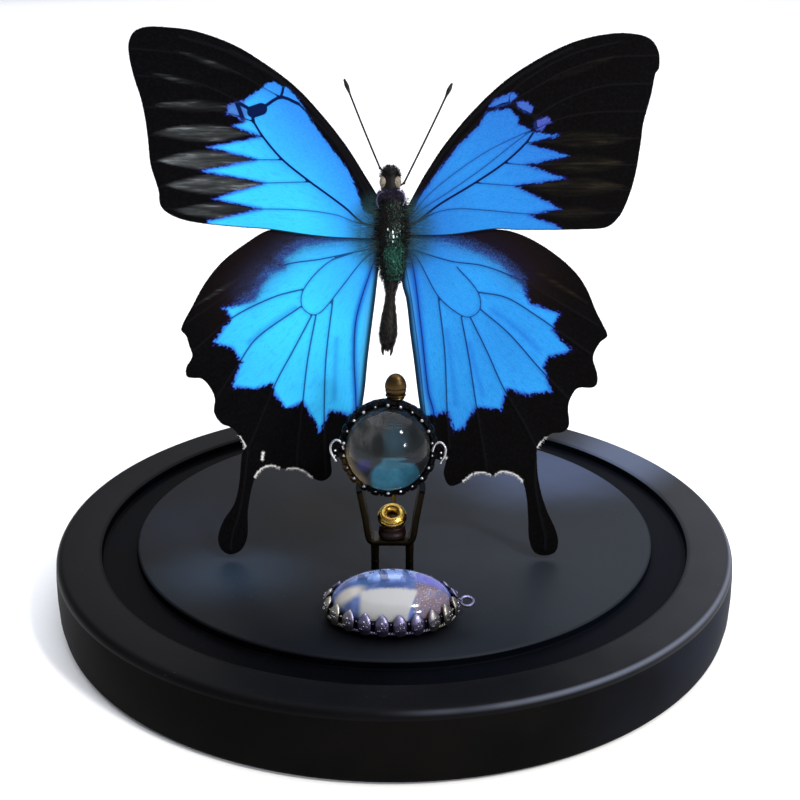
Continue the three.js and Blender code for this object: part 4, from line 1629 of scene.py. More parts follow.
@dataclass
class Body:
    """The insect's body: thorax, abdomen and head, each a hard skin under hair, with its feelers and legs."""

    place: Placement
    x: float = -0.5
    depth: float = 0.5

    def thorax(self, rng: np.random.Generator) -> Shape:
        """Makes the thorax with its down, its green dust, the long hair at the wing roots and painted glints.

        Args:
            rng: the source of chance.

        Returns:
            The thorax.
        """
        profile = [
            (0.05, 63), (2, 63.3), (2.7, 64.4), (3.1, 67), (3.5, 70), (4.2, 73), (4.3, 76), (3.6, 79.2),
            (3.1, 81), (2, 82), (0.05, 82.2),
        ]
        skin = lathe(curve(profile, 0.35), 56)
        angle = np.arctan2(skin.points[:, 1], skin.points[:, 0])
        ridge = 1 + 0.05 * np.cos(2 * angle) + 0.04 * np.sin(skin.points[:, 2] * 1.3) * np.abs(np.sin(angle))
        skin.points[:, :2] *= (0.86 * ridge)[:, None]
        skin.points += (self.x, self.depth, 0)
        down = Coat(6200, (0.7, 1.5), 0.075, 0.45, (0, 0, -1.0), 0.28, 1)
        dust = Coat(3300, (0.28, 0.5), 0.13, 0.3, (0, 0, -1.0), 0.5, 2)
        # white scales where highlights fall: painted glints
        painted_glint = Coat(60, (0.4, 0.7), 0.14, 0.3, (0.2, 0, -1.0), 0.4, 4)
        parts = [skin, down.grow(skin, rng)]
        parts.append(dust.grow(skin, rng, lambda p: (p[:, 1] < 0.5) * np.exp(-((p[:, 0] - 0.1) / 1.5) ** 2)
                               * (0.08 + np.exp(-((p[:, 2] - 68.2) / 2.6) ** 2))))
        parts.append(painted_glint.grow(skin, rng, lambda p: (p[:, 1] < 0.5) * np.exp(-((p[:, 0] + 0.4) / 0.75) ** 2)
                                * np.exp(-((p[:, 2] - 73.4) / 1.3) ** 2)))
        # small white flecks where highlights fall: painted glints
        painted_gleams = [
            (-1.4, 74.3, 0.26), (-0.3, 73.7, 0.34), (-0.15, 72.7, 0.36), (-0.3, 71.6, 0.25),
            (0.6, 72.7, 0.22), (1.3, 73.9, 0.18), (-1.0, 72.9, 0.16), (0.4, 70.3, 0.16),
            (-0.2, 67.2, 0.17), (0.6, 65.8, 0.15),
        ]
        for across, up, size in painted_gleams:
            painted_gleam = ball((across, -3.72 + 0.12 * abs(up - 73), up), (size * 0.55, 0.14, size * 1.15), 12, 4)
            parts.append(painted_gleam.valued(shade=size * 3 - 0.1, tip=1.0))
        for side in (-1, 1):
            roots = Coat(520, (1.2, 3.6), 0.065, 0.2, (side * 1.0, -0.1, -0.1), 0.22, 3)
            parts.append(roots.grow(skin, rng, lambda p, s=side: np.clip(s * (p[:, 0] - self.x) - 1.6, 0, 1)
                                    * (np.abs(p[:, 1] - 0.1) < 2.2) * (p[:, 2] > 66)))
        return join(parts)

    def abdomen(self, rng: np.random.Generator) -> Shape:
        """Makes the abdomen: eight rings, close hair and the two claspers at its end.

        Args:
            rng: the source of chance.

        Returns:
            The abdomen.
        """
        profile = [
            (0.05, -15.4), (0.6, -15.2), (1.3, -14.4), (1.85, -13), (2.05, -11.2), (1.9, -9), (1.6, -5.6),
            (1.45, -2.4), (1.8, -0.6), (1.7, 0.4), (0.05, 0.6),
        ]
        line = curve(profile, 0.16)
        line[:, 0] *= 1 - 0.22 * np.exp(-((line[:, 1] + 3.4) / 3.2) ** 2)
        line[:, 0] *= 0.93 + 0.06 * np.abs(np.sin(line[:, 1] * math.pi / 2.1))
        skin = lathe(line, 40)
        hair = Coat(3600, (0.35, 0.8), 0.06, 0.25, (0, 0, -1.0), 0.25, 1)
        pale = Coat(420, (0.25, 0.5), 0.09, 0.3, (0, 0, -1.0), 0.5, 2)
        parts = [skin, hair.grow(skin, rng)]
        parts.append(pale.grow(skin, rng, lambda p: np.exp(-(p[:, 0] / 0.7) ** 2) * (p[:, 1] < 0)))
        for side in (-1, 1):
            path = curve(
                [(side * 0.85, 0, -13.6), (side * 1.05, -0.1, -15.2), (side * 0.8, -0.1, -16.6)], 0.12
            )
            wide = 0.74 * np.sqrt(np.clip(1 - np.linspace(-0.2, 0.97, len(path)) ** 2, 0, 1))
            parts.append(blade(path, np.array([0.3, 1.0, 0]), wide, wide * 0.5, 10))
        made = join(parts)
        turn, spots = 0.06, made.points.copy()
        made.points[:, 0] = spots[:, 0] * math.cos(turn) + spots[:, 2] * math.sin(turn) - 0.7
        made.points[:, 2] = spots[:, 2] * math.cos(turn) - spots[:, 0] * math.sin(turn) + 62.7
        made.points[:, 1] += self.depth
        return made

    def head(self, rng: np.random.Generator) -> Shape:
        """Makes the head: a bare crown, two pale eyes, palps, and a collar of violet hair behind it.

        Args:
            rng: the source of chance.

        Returns:
            The head.
        """
        profile = [(0.05, 82.2), (1.4, 82.4), (2.1, 83.3), (2.2, 84.7), (2.1, 86.2), (1.8, 87.4), (1.1, 88.2),
                   (0.05, 88.4)]
        skin = lathe(curve(profile, 0.2), 40)
        skin.points += (HEAD_X, self.depth, 0)
        parts = [skin]
        for side in (-1, 1):
            eye = ball((HEAD_X + side * 1.45, self.depth - 0.75, 84.9), (1.02, 1.32, 1.5), 28, 2)
            palp = curve([
                (HEAD_X + side * 0.7, self.depth + 1.6, 86.2),
                (HEAD_X + side * 0.8, self.depth + 1.9, 88),
                (HEAD_X + side * 0.6, self.depth + 1.3, 89),
            ], 0.15)
            thick = 0.42 * np.sqrt(np.clip(1 - np.linspace(-0.5, 0.95, len(palp)) ** 2, 0, 1))
            parts += [eye, tube(palp, thick, 10, 0)]
        tuft = Coat(1500, (0.4, 1.0), 0.06, 0.5, (0, -0.1, 0.4), 0.35, 1)
        parts.append(tuft.grow(skin, rng, lambda p: (p[:, 2] > 85.8) + 0.4 * (p[:, 1] > 1)))
        ring = lathe([(0.05, 81.0), (2.3, 81.1), (2.75, 81.9), (2.3, 82.8), (0.05, 83.0)], 36)
        ring.points += (COLLAR_X, self.depth, 0)
        collar = Coat(2300, (0.5, 1.05), 0.075, 0.6, (0, 0, 0.25), 0.3, 3)
        # lilac hairs on the collar's front: painted sheen
        lilac_sheen = Coat(170, (0.3, 0.6), 0.13, 0.5, (0, 0, 0.4), 0.4, 4)
        parts.append(lilac_sheen.grow(ring, rng, lambda p: (p[:, 1] < 0.3) * 1.0))
        # two arcs at the shoulders in the lilac sheen; the right one is painted lighter as the lit side
        for side, high in ((-1, 82.2), (1, 82.6)):
            arc = curve([
                (COLLAR_X + side * 1.5, -2.2, high + 0.5), (COLLAR_X + side * 2.7, -1.9, high - 0.1),
                (COLLAR_X + side * 3.15, -1.6, high - 1.6), (COLLAR_X + side * 2.7, -1.7, high - 3.0),
            ], 0.15)
            parts.append(tube(arc, 0.12, 8, 4).valued(shade=0.55 if side > 0 else 0.2, tip=0.4))
        parts += [
            ring,
            collar.grow(ring, rng, lambda p: 0.05 + (np.hypot(p[:, 0] - COLLAR_X, p[:, 1] - 0.5) > 1.9)),
        ]
        return join(parts)

    def feeler(self, root: Sequence[float], tip: Sequence[float]) -> Shape:
        """Makes a feeler of many short joints that ends in a club.

        Args:
            root: where it starts.
            tip: where it ends.

        Returns:
            The feeler.
        """
        start, end = np.array(root, float), np.array(tip, float)
        share = np.linspace(0, 1, 240)
        bow = np.sin(share * math.pi)[:, None] * np.array([0.12 * np.sign(end[0]), -0.1, 0])
        path = start + share[:, None] * (end - start) + bow
        length = np.linalg.norm(end - start)
        left = (1 - share) * length
        thick = 0.2 + 0.03 * np.abs(np.sin(share * length * math.pi / 0.55))
        thick += 0.27 * np.exp(-((left - 1.7) / 1.15) ** 2)
        thick *= np.sqrt(np.clip(left / 0.35, 0.02, 1))
        joint = ball(start, 0.34, 14)
        stem = curve([(start[0] * 0.55 - 0.4, start[1] + 0.3, start[2] - 0.9), start], 0.2)
        return join([joint, tube(stem, 0.22, 10), tube(path, thick, 12)])

    def leg(self, side: int, height: float, reach: float, rng: np.random.Generator) -> Shape:
        """Makes a folded leg: hip, thigh, spined shin, and a foot of five joints with two claws.

        Args:
            side: -1 or 1.
            height: how high it leaves the breast.
            reach: how far it goes up before it folds back.
            rng: the source of chance.

        Returns:
            The leg.
        """
        knots = [
            (1.5, 5.3, 0),
            (2.6, 6.6, 0.9),
            (3.7, 8.2, 1.6),
            (3.3, 8.9, -0.4),
            (2.5, 8.8, -2.6),
            (2, 8.1, -4.4),
        ]
        spots = np.array([(self.x + side * a, w, height + up * reach) for a, w, up in knots])
        hip = np.array([self.x + side * 1.0, 3.0, height])
        thigh = curve([hip, *spots[:3]], 0.2)
        shin = curve(spots[2:5], 0.2)
        foot = curve(spots[4:], 0.1)
        parts = [ball(spots[2], 0.36, 12)]
        swell = np.sin(np.linspace(0.5, math.pi - 0.35, len(thigh)))
        parts.append(tube(thigh, 0.2 + 0.18 * swell, 12))
        parts.append(tube(shin, np.linspace(0.26, 0.2, len(shin)), 10))
        beads = np.abs(np.sin(np.linspace(0, 5 * math.pi, len(foot))))
        parts.append(tube(foot, 0.13 + 0.06 * beads, 10))
        heading = unit(spots[5] - spots[4])
        for q in (-1, 1):
            hook = foot[-1] + np.array(
                [[0, 0, 0], heading * 0.3 + (q * 0.15, 0, 0), heading * 0.45 + (q * 0.1, -0.2, 0)]
            )
            parts.append(tube(curve(hook, 0.06), np.linspace(0.06, 0.015, len(curve(hook, 0.06))), 6))
        count = 60
        stand = rng.choice(len(shin), count)
        out = unit(rng.normal(0, 1, (count, 3)))
        along = unit(np.gradient(shin, axis=0))[stand]
        length = rng.uniform(0.3, 0.5, (count, 1))
        spines = hairs(shin[stand] + out * 0.15, unit(out + along * 0.8), out, length, 0.05, out * 0.1, 1)
        parts.append(spines.valued(shade=np.repeat(rng.random(count), HAIR_POINTS)))
        fuzz = Coat(500, (0.3, 0.7), 0.045, 0.5, tuple(unit(spots[2] - hip)), 0.3, 1)
        parts.append(fuzz.grow(parts[1], rng))
        return join(parts)

    def proboscis(self) -> Shape:
        """Makes the coiled tongue.

        Returns:
            The tongue.
        """
        turn = np.linspace(0, 4.6 * math.pi, 170)
        reach = 0.16 + 0.64 * turn / turn[-1]
        across = self.x + 0.05 * np.sin(turn / 2)
        path = np.stack([across, self.depth + 3.6 + reach * np.cos(turn), 84.2 + reach * np.sin(turn)], -1)
        return tube(path, np.linspace(0.07, 0.15, len(path)), 10)

    def build(self, rng: np.random.Generator) -> None:
        """Makes the body's pieces and dresses them.

        Args:
            rng: the source of chance.
        """
        dark = Chitin("dark_chitin", "070505", "2c3f3b", 0.3, 0.5).made()
        bronze = Chitin("bronze_chitin", "030202", "2a1e0e", 0.2, 0.5, "0b0805").made()
        eye = Chitin("pale_eye", "8d8476", "ccc4b8", 0.5, 0.5, "5a5046").made()
        black = Hair("black_hair", "020202", "0a0807", 0.06).made()
        green = Hair("green_dust", "0d342b", "5cc4a8", 0.45).made()
        teal = Hair("teal_hair", "060c0d", "3f5f60", 0.3).made()
        violet = Hair("violet_hair", "08060e", "41365e", 0.3).made()
        painted_glint = Hair("pale_painted_glint", "5f7a77", "dcebe7", 0.5).made()
        lilac_sheen = Hair("lilac_painted_sheen", "3a3050", "a79bcc", 0.5).made()
        grey = Hair("grey_scales", "1f1a17", "6f675e", 0.2).made()
        brown = Chitin("brown_feeler", "1b120b", "6b4c2c", 0.3, 0.4).made()
        make_piece(
            "thorax", self.thorax(rng).placed(self.place), [dark, black, green, teal, painted_glint]
        )
        make_piece("abdomen", self.abdomen(rng).placed(self.place), [dark, black, grey])
        make_piece(
            "head", self.head(rng).placed(self.place), [bronze, black, eye, violet, lilac_sheen]
        )
        left = self.feeler((-3.15, -0.6, 88), (-11.05, -1.5, 107.4))
        right = self.feeler((2.2, -0.6, 84.7), (12.85, -1.5, 106.5))
        make_piece("antenna_left", left.placed(self.place), [dark])
        make_piece("antenna_right", right.placed(self.place), [brown])
        make_piece("proboscis", self.proboscis().placed(self.place), [dark])
        pairs = {"front": (80, -0.55), "middle": (76.4, 0.5), "hind": (73, 0.85)}
        for pair, (height, reach) in pairs.items():
            for side, hand in ((-1, "left"), (1, "right")):
                made = self.leg(side, height, reach, rng).placed(self.place)
                name = f"leg_{pair}_{hand}"
                make_piece(name, made, [dark, black])


@dataclass
class Butterfly:
    """The set butterfly, which stands over the disc and leans back."""

    place: Placement = Placement((0.0, -17.6, DISC_TOP), math.radians(-15))

    def build(self, rng: np.random.Generator) -> None:
        """Makes the wings and the body.

        Args:
            rng: the source of chance.
        """
        under = WingUnderside().made()
        dark = Hair("dark_fringe", "060506", "15100f", 0.2).made()
        white = Hair("white_fringe", "b9b4ae", "f4f2ee", 0.4).made()
        # one blue scale finish in a lit and a shaded copy: painted light and shade
        upper = {
            Blue.CYAN_LIT: WingScales(Blue.CYAN_LIT).made(),
            Blue.AZURE_SHADED: WingScales(Blue.AZURE_SHADED, "060505", "3a3528", "130f22", "3f3a2e").made(),
        }
        for wing in (FOREWING_LEFT, FOREWING_RIGHT, HINDWING_LEFT, HINDWING_RIGHT):
            wing.build(self.place, [upper[wing.blue], under, dark, white], rng)
        Body(self.place).build(rng)


@dataclass
class Support:
    """The bent wire that holds the butterfly by its breast, and the round foot that the wire stands in."""

    radius: float = 0.55
    foot: tuple[float, float] = (-0.6, -3.0)

    def build(self) -> None:
        """Makes the wire and its foot."""
        x, y = self.foot
        brass = Metal("brass", "b8924c", "4e3a1c", 0.45, 0.28).made()
        path = curve([(x, y, 16.9), (x, y, 20.5), (0.5, -2.9, 26), (3.6, -2.6, 32.8), (6.5, -2.5, 41.5),
                      (7, -2.3, 50.5), (6.1, -1, 58.5), (4.5, 0.9, 69.5), (3.5, 2.3, 76), (2.2, 3.2, 80.8),
                      (0.3, 2.4, 84.5)], 0.5)
        path = path[path[:, 2] < 83.4]
        make_piece("support_wire", tube(path, self.radius, 18), [brass])
        base = DISC_TOP + FOOT_GAP
        steps = soften([(0.01, base), (3, base), (3, base + 0.8), (1.25, base + 1.0), (0.95, base + 1.55),
                        (0.01, base + 1.55)], [0, 0.15, 0.2, 0.15, 0.12, 0], closed=False)
        foot = lathe(steps, 64)
        foot.points += (x, y, 0)
        make_piece("support_foot", foot, [brass])


# ---------------------------------------------------------------- stones


@dataclass
class StoneSetting:
    """A cup that holds a stone, with a crown of small lobes bent over the stone's edge."""

    place: Placement
    half_length: float
    half_width: float
    dome: float
    lobes: int
    lobe_width: float
    lobe_depth: float
    bead: float
    grains: int = 0

    def on_girdle(self, share: Array, out: float | Array) -> tuple[Array, Array]:
        """Finds places round the stone's edge.

        Args:
            share: how far round, from 0 to 1, at even distances along the edge.
            out: how far outside the edge.

        Returns:
            The places, and the direction out at each.
        """
        turn = np.linspace(0, 2 * math.pi, 1441)
        line = np.stack([self.half_length * np.cos(turn), self.half_width * np.sin(turn)], -1)
        along = np.append(0, np.cumsum(np.linalg.norm(np.diff(line, axis=0), axis=1)))
        t = np.interp(np.asarray(share) % 1.0, along / along[-1], turn)
        outward = unit(np.stack([np.cos(t) / self.half_length, np.sin(t) / self.half_width], -1))
        place = np.stack([self.half_length * np.cos(t), self.half_width * np.sin(t)], -1)
        return place + outward * np.asarray(out)[..., None], outward

    def cup(self) -> Shape:
        """Turns the cup, in the shape of the stone.

        Returns:
            The cup.
        """
        profile = soften(
            [(0.01, -3.2), (-0.5, -3.2), (1.1, -1.7), (1.1, 0.1), (0.3, 0.35), (0.3, -1.4), (0.01, -1.4)],
            [0, 0.5, 0.4, 0.2, 0.12, 0.1, 0], closed=False,
        )
        angles = np.arange(CUP_SIDES) * 2 * math.pi / CUP_SIDES
        reach = np.where(profile[:, 0] == 0.01, 0.01, profile[:, 0] + self.half_length)
        rings = np.stack([
            reach[:, None] * np.cos(angles),
            reach[:, None] * np.sin(angles) * self.half_width / self.half_length,
            np.broadcast_to(profile[:, 1][:, None], (len(profile), CUP_SIDES)),
        ], -1)
        # finish 2, which the pendant paints dark as the shade behind its lobes
        return loft(rings, 2)

    def lobe(self, share: float) -> list[Shape]:
        """Makes one lobe of the crown, with the bead at its tip and the grains beside it.

        Args:
            share: how far round it stands.

        Returns:
            Its parts.
        """
        steps = np.linspace(0, 1, 15)
        offsets = np.interp(steps, [0, 0.3, 0.6, 0.85, 1], [1.0, 1.32, 1.15, 0.45, 0.0])
        heights = np.interp(steps, [0, 0.3, 0.6, 0.85, 1], [-2.3, -1.0, 0.4, 1.25, 1.5])
        smooth = curve(np.stack([offsets, heights], -1)[::2], 0.22)
        spot, out = self.on_girdle(np.full(len(smooth), share), smooth[:, 0])
        path = np.column_stack([spot, smooth[:, 1]])
        across = np.array([-out[0, 1], out[0, 0], 0.0])
        t = np.linspace(0, 1, len(path))
        wide = self.lobe_width * (0.78 + 0.22 * np.sin(t * math.pi)) * np.sqrt(np.clip(1.03 - t**5, 0, 1))
        uneven = 0.5 + 0.5 * math.sin(share * 91.7 + self.half_width)
        parts = [blade(path, across, wide, self.lobe_depth, 16)]
        parts.append(ball(path[-2] + (*(out[0] * 0.15), 0.12), self.bead * (0.65 + 0.4 * uneven), 14, 1))
        place, _ = self.on_girdle(np.array([share + 0.5 / self.lobes]), 1.1)
        parts.append(ball((*place[0], 0.1), self.bead * (0.7 - 0.3 * uneven), 12, 0))
        for i in range(self.grains):
            low = int(len(path) * (0.3 + 0.5 * (i % 3) / 3))
            aside = across * wide[low] * (-0.62, 0.0, 0.62, -0.3, 0.35, 0.05, -0.5, 0.5)[i % 8]
            lift = np.array([*(out[0] * self.lobe_depth), 0.0])
            parts.append(ball(path[low] + aside + lift * 0.9, 0.17 + 0.07 * ((i * 7) % 3), 8, i % 2))
        return parts

    def crown(self) -> Shape:
        """Makes the cup with its crown and a twisted wire round its foot.

        Returns:
            The whole setting.
        """
        parts = [self.cup()]
        for i in range(self.lobes):
            parts += self.lobe((i + 0.5) / self.lobes)
        t = np.linspace(0, 1, 900, endpoint=False)
        spot, out = self.on_girdle(t, 1.12)
        twist = t * 2 * math.pi * self.lobes * 3
        for phase in (0.0, math.pi):
            reach = 0.17 * np.cos(twist + phase)
            path = np.column_stack([spot + out * reach[:, None], -1.95 + 0.17 * np.sin(twist + phase)])
            parts.append(self.ring_of(path, 0.17))
        return join(parts)

    def ring_of(self, path: Array, radius: float) -> Shape:
        """Makes a wire ring along a closed path."""
        ahead = unit(np.roll(path, -1, axis=0) - np.roll(path, 1, axis=0))
        across = unit(np.cross(ahead, (0, 0, 1.0)))
        return loft(round_rings(path, across, np.cross(ahead, across), radius, 8), 0, endless=True)

    def stone(self, segments: int = 160) -> Shape:
        """Turns the stone: a flat back, a rounded girdle and a dome.

        Args:
            segments: faces round it.

        Returns:
            The stone.
        """
        quarter = np.linspace(0, math.pi / 2, 40)
        base = [(0.01, -1.1), (self.half_length - 0.5, -1.1), (self.half_length - 0.2, -0.95)]
        dome = [(max(0.01, self.half_length * math.cos(q)), self.dome * math.sin(q)) for q in quarter]
        made = lathe([*base, *dome], segments)
        made.points[:, 1] *= self.half_width / self.half_length
        return made


@dataclass
class StandingStone(StoneSetting):
    """The round stone on its cradle: a strap like a U, a gilt bead on a red collar, and two legs."""

    strap_depth: float = 5.0
    cradle: tuple[float, float] = (-0.7, -27.4)

    def ears(self) -> Shape:
        """Makes the two arched loops of wire at the setting's sides.

        Returns:
            The loops.
        """
        parts = []
        for side, height in ((-1, 0.6), (1, 0.1)):
            knots = [(9.3, height - 0.6), (9.9, height + 0.9), (11.0, height + 1.3), (12.0, height + 0.3),
                     (11.9, height - 1.4), (10.9, height - 3.2)]
            path = curve([(side * a, b, 0.9) for a, b in knots], 0.2)
            parts.append(tube(path, 0.27, 12, 1))
            inner = curve([(side * (a - 0.45), b - 0.55, 0.7) for a, b in knots[1:-1]], 0.2)
            parts.append(tube(inner, 0.2, 10, 0))
            web = curve([
                (side * 10.2, height + 0.6, 0.2), (side * 10.9, height - 0.6, 0.1),
                (side * 10.4, height - 2.4, 0),
            ], 0.2)
            parts.append(blade(web, np.array([1.0, 0, 0]), 0.75, 0.3, 12, 0))
            parts += [
                ball((side * 11.1, height - 0.9 - 1.1 * i, 0.95), 0.32 - 0.05 * i, 12, 1) for i in range(3)
            ]
        return join(parts)

    def strap(self) -> Shape:
        """Bends the strap.

        Returns:
            The strap.
        """
        x, y = self.cradle
        half = [(6.85, 37.5), (5.6, 30.4), (4.85, 25.9), (3.9, 25.0), (2.0, 24.95)]
        line = curve([(a, b) for a, b in half] + [(-a, b) for a, b in reversed(half)], 0.35)
        path = np.stack([line[:, 0] + x, np.full(len(line), y), line[:, 1]], -1)
        ahead = unit(np.gradient(path, axis=0))
        deep = np.cross(ahead, (0, 1.0, 0))
        angles = np.arange(28) * 2 * math.pi / 28
        c, s = np.cos(angles), np.sin(angles)
        wide = np.sign(c) * np.abs(c) ** 0.3 * self.strap_depth / 2
        thick = np.sign(s) * np.abs(s) ** 0.3 * 0.68
        hollow = 0.12 * (wide / (self.strap_depth / 2)) ** 2
        rings = path[:, None] + wide[None, :, None] * np.array([0, 1.0, 0])
        rings = rings + (thick - hollow)[None, :, None] * deep[:, None]
        return loft(rings[:, ::-1])

    def bail(self) -> Shape:
        """Makes the dark bulb on top: two shells with a seam, on a small collar.

        Returns:
            The bulb.
        """
        angles = np.linspace(-math.pi / 2, math.pi / 2, 50)
        seam = 1 - 0.06 * np.exp(-((angles + 0.15) / 0.06) ** 2)
        bulb = lathe(np.stack([np.cos(angles) * seam + 1e-3, np.sin(angles)], -1), 60)
        bulb.points = bulb.points * (2.3, 1.66, 2.95) + (BAIL_X, BAIL_Y, 60)
        parts = [bulb]
        for height, reach, size in ((57.6, 1.55, 0.32), (58.2, 1.95, 0.24)):
            turn = np.arange(80) * 2 * math.pi / 80
            path = np.stack(
                [BAIL_X + reach * np.cos(turn), BAIL_Y + reach * 0.75 * np.sin(turn), np.full(80, height)], -1
            )
            parts.append(self.ring_of(path, size))
        stem = curve([(BAIL_X, BAIL_Y, 57.5), (BAIL_X, BAIL_Y + 0.1, 57.1), (BAIL_X, -26.2, 56.7)], 0.2)
        parts.append(tube(stem, 0.7, 14))
        return join(parts)

    def collar(self) -> Shape:
        """Turns the red collar under the bead."""
        base = 25.7 + GAP
        top = base + 2.55
        profile = soften(
            [(0.01, base), (3.0, base), (3.05, base + 0.9), (2.8, base + 1.4), (2.9, top), (0.01, top)],
            [0, 0.2, 0.25, 0.3, 0.25, 0], closed=False,
        )
        made = lathe(profile, 72)
        made.points += (self.cradle[0] + 0.3, self.cradle[1], 0)
        return made

    def gilt_bead(self) -> Shape:
        """Turns the gilt bead, grooved round its middle, and tips its hole forward."""
        turn = np.linspace(0, 2 * math.pi, 72, endpoint=False)
        swell = 1.12 - 0.07 * np.exp(-((turn - 0.5) / 0.16) ** 2) - 0.05 * np.exp(-((turn - 1.2) / 0.12) ** 2)
        profile = np.stack([2.08 + swell * np.cos(turn), 1.32 * swell * np.sin(turn)], -1)
        made = lathe(profile, 96, endless=True)
        made.points = Placement((self.cradle[0] + 0.3, self.cradle[1] - 0.1, 30.45), 0.42).apply(made.points)
        return made

    def leg(self, x: float) -> Shape:
        """Turns one leg, with a foot, a ring and a waist."""
        low, high = DISC_TOP + FOOT_GAP, 24.1
        profile = soften(
            [
                (0.01, low), (1.35, low), (1.35, low + 0.6), (0.95, low + 1.1), (0.85, low + 3.6),
                (0.92, low + 3.9), (0.92, low + 4.3), (0.85, low + 4.6), (0.95, high), (0.01, high),
            ],
            [0, 0.15, 0.2, 0.3, 0.2, 0.1, 0.1, 0.2, 0.1, 0], closed=False,
        )
        made = lathe(profile, 40)
        made.points += (x, self.cradle[1], 0)
        return made

    def foil(self) -> Shape:
        """Cuts the painted foil that lies between the stone and its cup, crumpled a little."""
        radius = np.linspace(0.01, self.half_length - 0.42, 60)
        angles = np.arange(160) * 2 * math.pi / 160
        x, y = radius[:, None] * np.cos(angles), radius[:, None] * np.sin(angles)
        lift = 0.03 * np.sin(x * 1.9 + 0.7 * y) * np.sin(y * 1.4 - x)
        rows = [np.stack([x, y, -0.86 + lift], -1), np.stack([x, y, -0.98 + lift], -1)]
        return loft(np.concatenate([rows[1], rows[0][::-1]]))

    def build(self) -> None:
        """Makes the stone, its setting and its cradle."""
        x, y, z = self.place.origin
        # a painted warm reflection on the setting's lower left
        warm = ((x - 7.6, y, z - 4.6), (3.4, 9, 5.2), "9c8052")
        silver = Metal("old_silver", "2b2b30", "060607", 0.85, 0.38, (warm,)).made()
        wear_and_edge_highlight = Metal("rubbed_silver", "b9b8ba", "4a494d", 0.35, 0.2).made()
        bronze = Metal("dark_bronze", "7e6440", "0b0805", 0.76, 0.2).made()
        olive = Metal("old_brass", "453b26", "0a0806", 0.8, 0.26).made()
        gold = Metal("gilt", "cfa850", "5a3c14", 0.4, 0.2).made()
        setting = join([self.crown(), self.ears()]).placed(self.place)
        make_piece("crystal_setting", setting, [silver, wear_and_edge_highlight, silver])
        make_piece("crystal", self.stone().placed(self.place), [ClearGlass().made()])
        foil = SmokyFoil(self.place.origin).made()
        make_piece("crystal_foil", self.foil().placed(self.place), [foil], stands_in=False)
        make_piece("setting_bail", self.bail(), [bronze, olive])
        make_piece("cradle_band", self.strap(), [olive])
        make_piece("cradle_collar", self.collar(), [Enamel().made()])
        make_piece("cradle_bead", self.gilt_bead(), [gold])
        for x, hand in ((-4.2, "left"), (3.4, "right")):
            make_piece(f"cradle_leg_{hand}", self.leg(x), [olive])


@dataclass
class LyingPendant(StoneSetting):
    """The oval moonstone in its setting, lying on its back, with a ring at one end."""

    def loop(self) -> Shape:
        """Makes the hanging ring and the eye that joins it to the setting."""
        turn = np.arange(72) * 2 * math.pi / 72
        ring = self.ring_of(np.stack([1.3 * np.cos(turn), 1.3 * np.sin(turn), np.zeros(72)], -1), 0.36)
        ring.points = Placement((15.75, -0.4, 0.0), 0.3).apply(ring.points)
        eye = self.ring_of(np.stack([0.55 * np.cos(turn), np.zeros(72), 0.55 * np.sin(turn)], -1), 0.22)
        eye.points += (14.2, -0.4, 0)
        return join([ring, eye])

    def build(self) -> None:
        """Makes the pendant's pieces."""
        x, y, z = self.place.origin
        # painted reflections: warm white on the crown's left end, grey on its right end
        ends = (
            ((x - 12.5, y - 3.5, z), (6.0, 7.0, 9), "e2dccd"),
            ((x + 10.5, y - 4.5, z), (5.5, 6.0, 9), "aca79f"),
        )
        silver = Metal("pendant_silver", "9a96be", "121119", 0.62, 0.27, ends).made()
        wear_and_edge_highlight = Metal("pendant_beads", "d0ccdc", "56536a", 0.3, 0.2).made()
        # the cup behind the lobes painted dark: painted shade
        cup_shade = Metal("pendant_cup_painted_shade", "2c2a38", "060508", 0.8, 0.4).made()
        make_piece("pendant_setting", self.crown().placed(self.place), [silver, wear_and_edge_highlight, cup_shade])
        stone = Moonstone(self.place.origin).made()
        make_piece("pendant_stone", self.stone(200).placed(self.place), [stone])
        make_piece("pendant_loop", self.loop().placed(self.place), [silver, wear_and_edge_highlight])


# ---------------------------------------------------------------- stage


@dataclass(frozen=True)
class SoftLight:
    """A plain soft light that faces a point on the object."""

    name: str
    spot: tuple[float, float, float]
    aim: tuple[float, float, float]
    size: tuple[float, float]
    watts: float
    tint: str = "ffffff"

    def hang(self) -> None:
        """Hangs the light, in millimetres from the object's origin."""
        lamp = bpy.data.lights.new(self.name, "AREA")
        lamp.shape = "ELLIPSE"
        lamp.size, lamp.size_y = self.size[0] * MM, self.size[1] * MM
        lamp.energy = self.watts
        lamp.color = colour(self.tint)
        holder = bpy.data.objects.new(self.name, lamp)
        holder.location = Vector(self.spot) * MM
        aim = Vector(self.aim) - Vector(self.spot)
        holder.rotation_euler = aim.to_track_quat("-Z", "Y").to_euler()
        bpy.context.scene.collection.objects.link(holder)


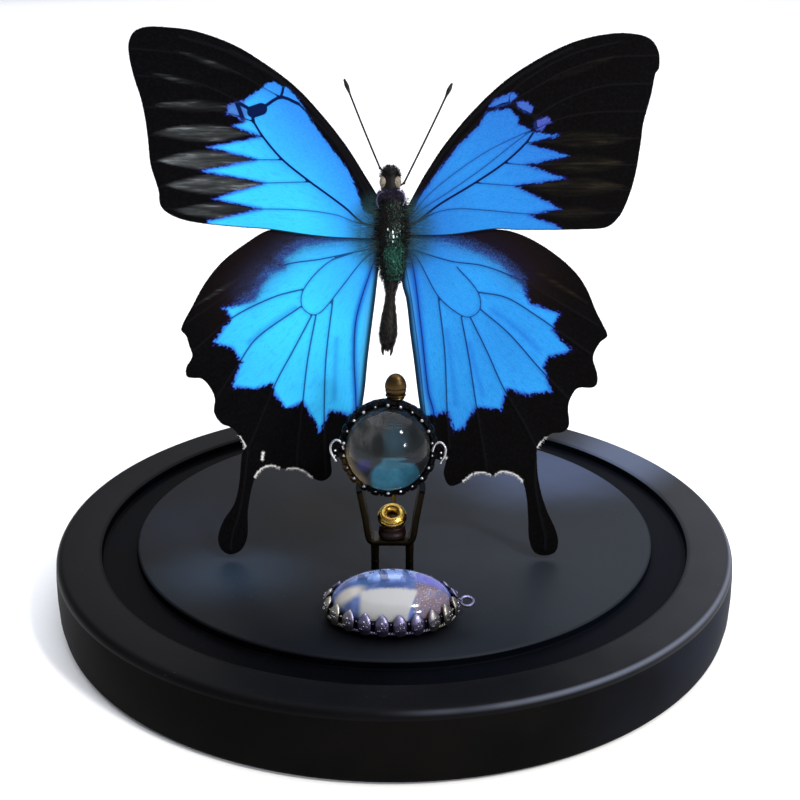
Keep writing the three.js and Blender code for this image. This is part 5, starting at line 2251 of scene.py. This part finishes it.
@dataclass
class Stage:
    """The pale floor, the soft lights and the camera."""

    lens: float = 54.0
    camera_spot: tuple[float, float, float] = (1.30, -264.10, 144.27)
    pitch: float = 20.149

    def floor(self) -> None:
        """Lays the floor: a wide round sheet."""
        made = lathe([(0.01, -2.05), (9000, -2.05), (9000, -0.05), (0.01, -0.05)], 96)
        mesh = bpy.data.meshes.new("floor")
        mesh.from_pydata((made.points * MM).tolist(), [], made.triangles.tolist())
        mesh.materials.append(Paper().made())
        sheet = bpy.data.objects.new("floor", mesh)
        bpy.context.scene.collection.objects.link(sheet)

    def build(self) -> None:
        """Sets the floor, the lights, the sky and the camera."""
        self.floor()
        lights = (
            SoftLight("key", (430, -450, 690), (0, -20, 70), (110, 110), 5.2, "fffaf2"),
            SoftLight("front", (450, -560, 270), (0, -10, 60), (80, 80), 2.2, "f4f8ff"),
            SoftLight("ceiling", (300, 2100, 2300), (300, 2100, 0), (4600, 7000), 160.0, "f4f7ff"),
        )
        for light in lights:
            light.hang()
        world = bpy.data.worlds.new("room")
        world.use_nodes = True
        sky = world.node_tree.nodes["Background"]
        sky.inputs["Color"].default_value = (*colour("f2f5fa"), 1.0)
        sky.inputs["Strength"].default_value = 0.42
        scene = bpy.context.scene
        scene.world = world
        scene.view_settings.view_transform = "Standard"
        lens = bpy.data.cameras.new("camera")
        lens.lens, lens.sensor_width, lens.clip_start = self.lens, 36.0, 0.005
        camera = bpy.data.objects.new("camera", lens)
        camera.location = Vector(self.camera_spot) * MM
        camera.rotation_euler = (math.radians(90 - self.pitch), 0, 0)
        scene.collection.objects.link(camera)
        scene.camera = camera


def main() -> None:
    """Builds the display, sub-assembly by sub-assembly."""
    logging.basicConfig(level=logging.INFO, format="%(name)s: %(message)s")
    rng = np.random.default_rng(SEED)
    Base().build()
    Butterfly().build(rng)
    Support().build()
    standing = Placement((-1.2, -30.2, 47.6), math.radians(78))
    StandingStone(standing, 9.0, 9.0, 7.2, 22, 0.95, 0.3, 0.4).build()
    lying = Placement((-0.5, -43.9, DISC_TOP + GAP + 3.2))
    LyingPendant(lying, 12.5, 9.0, 5.8, 20, 1.42, 0.5, 0.34, 8).build()
    Stage().build()


if __name__ == "__main__":
    main()
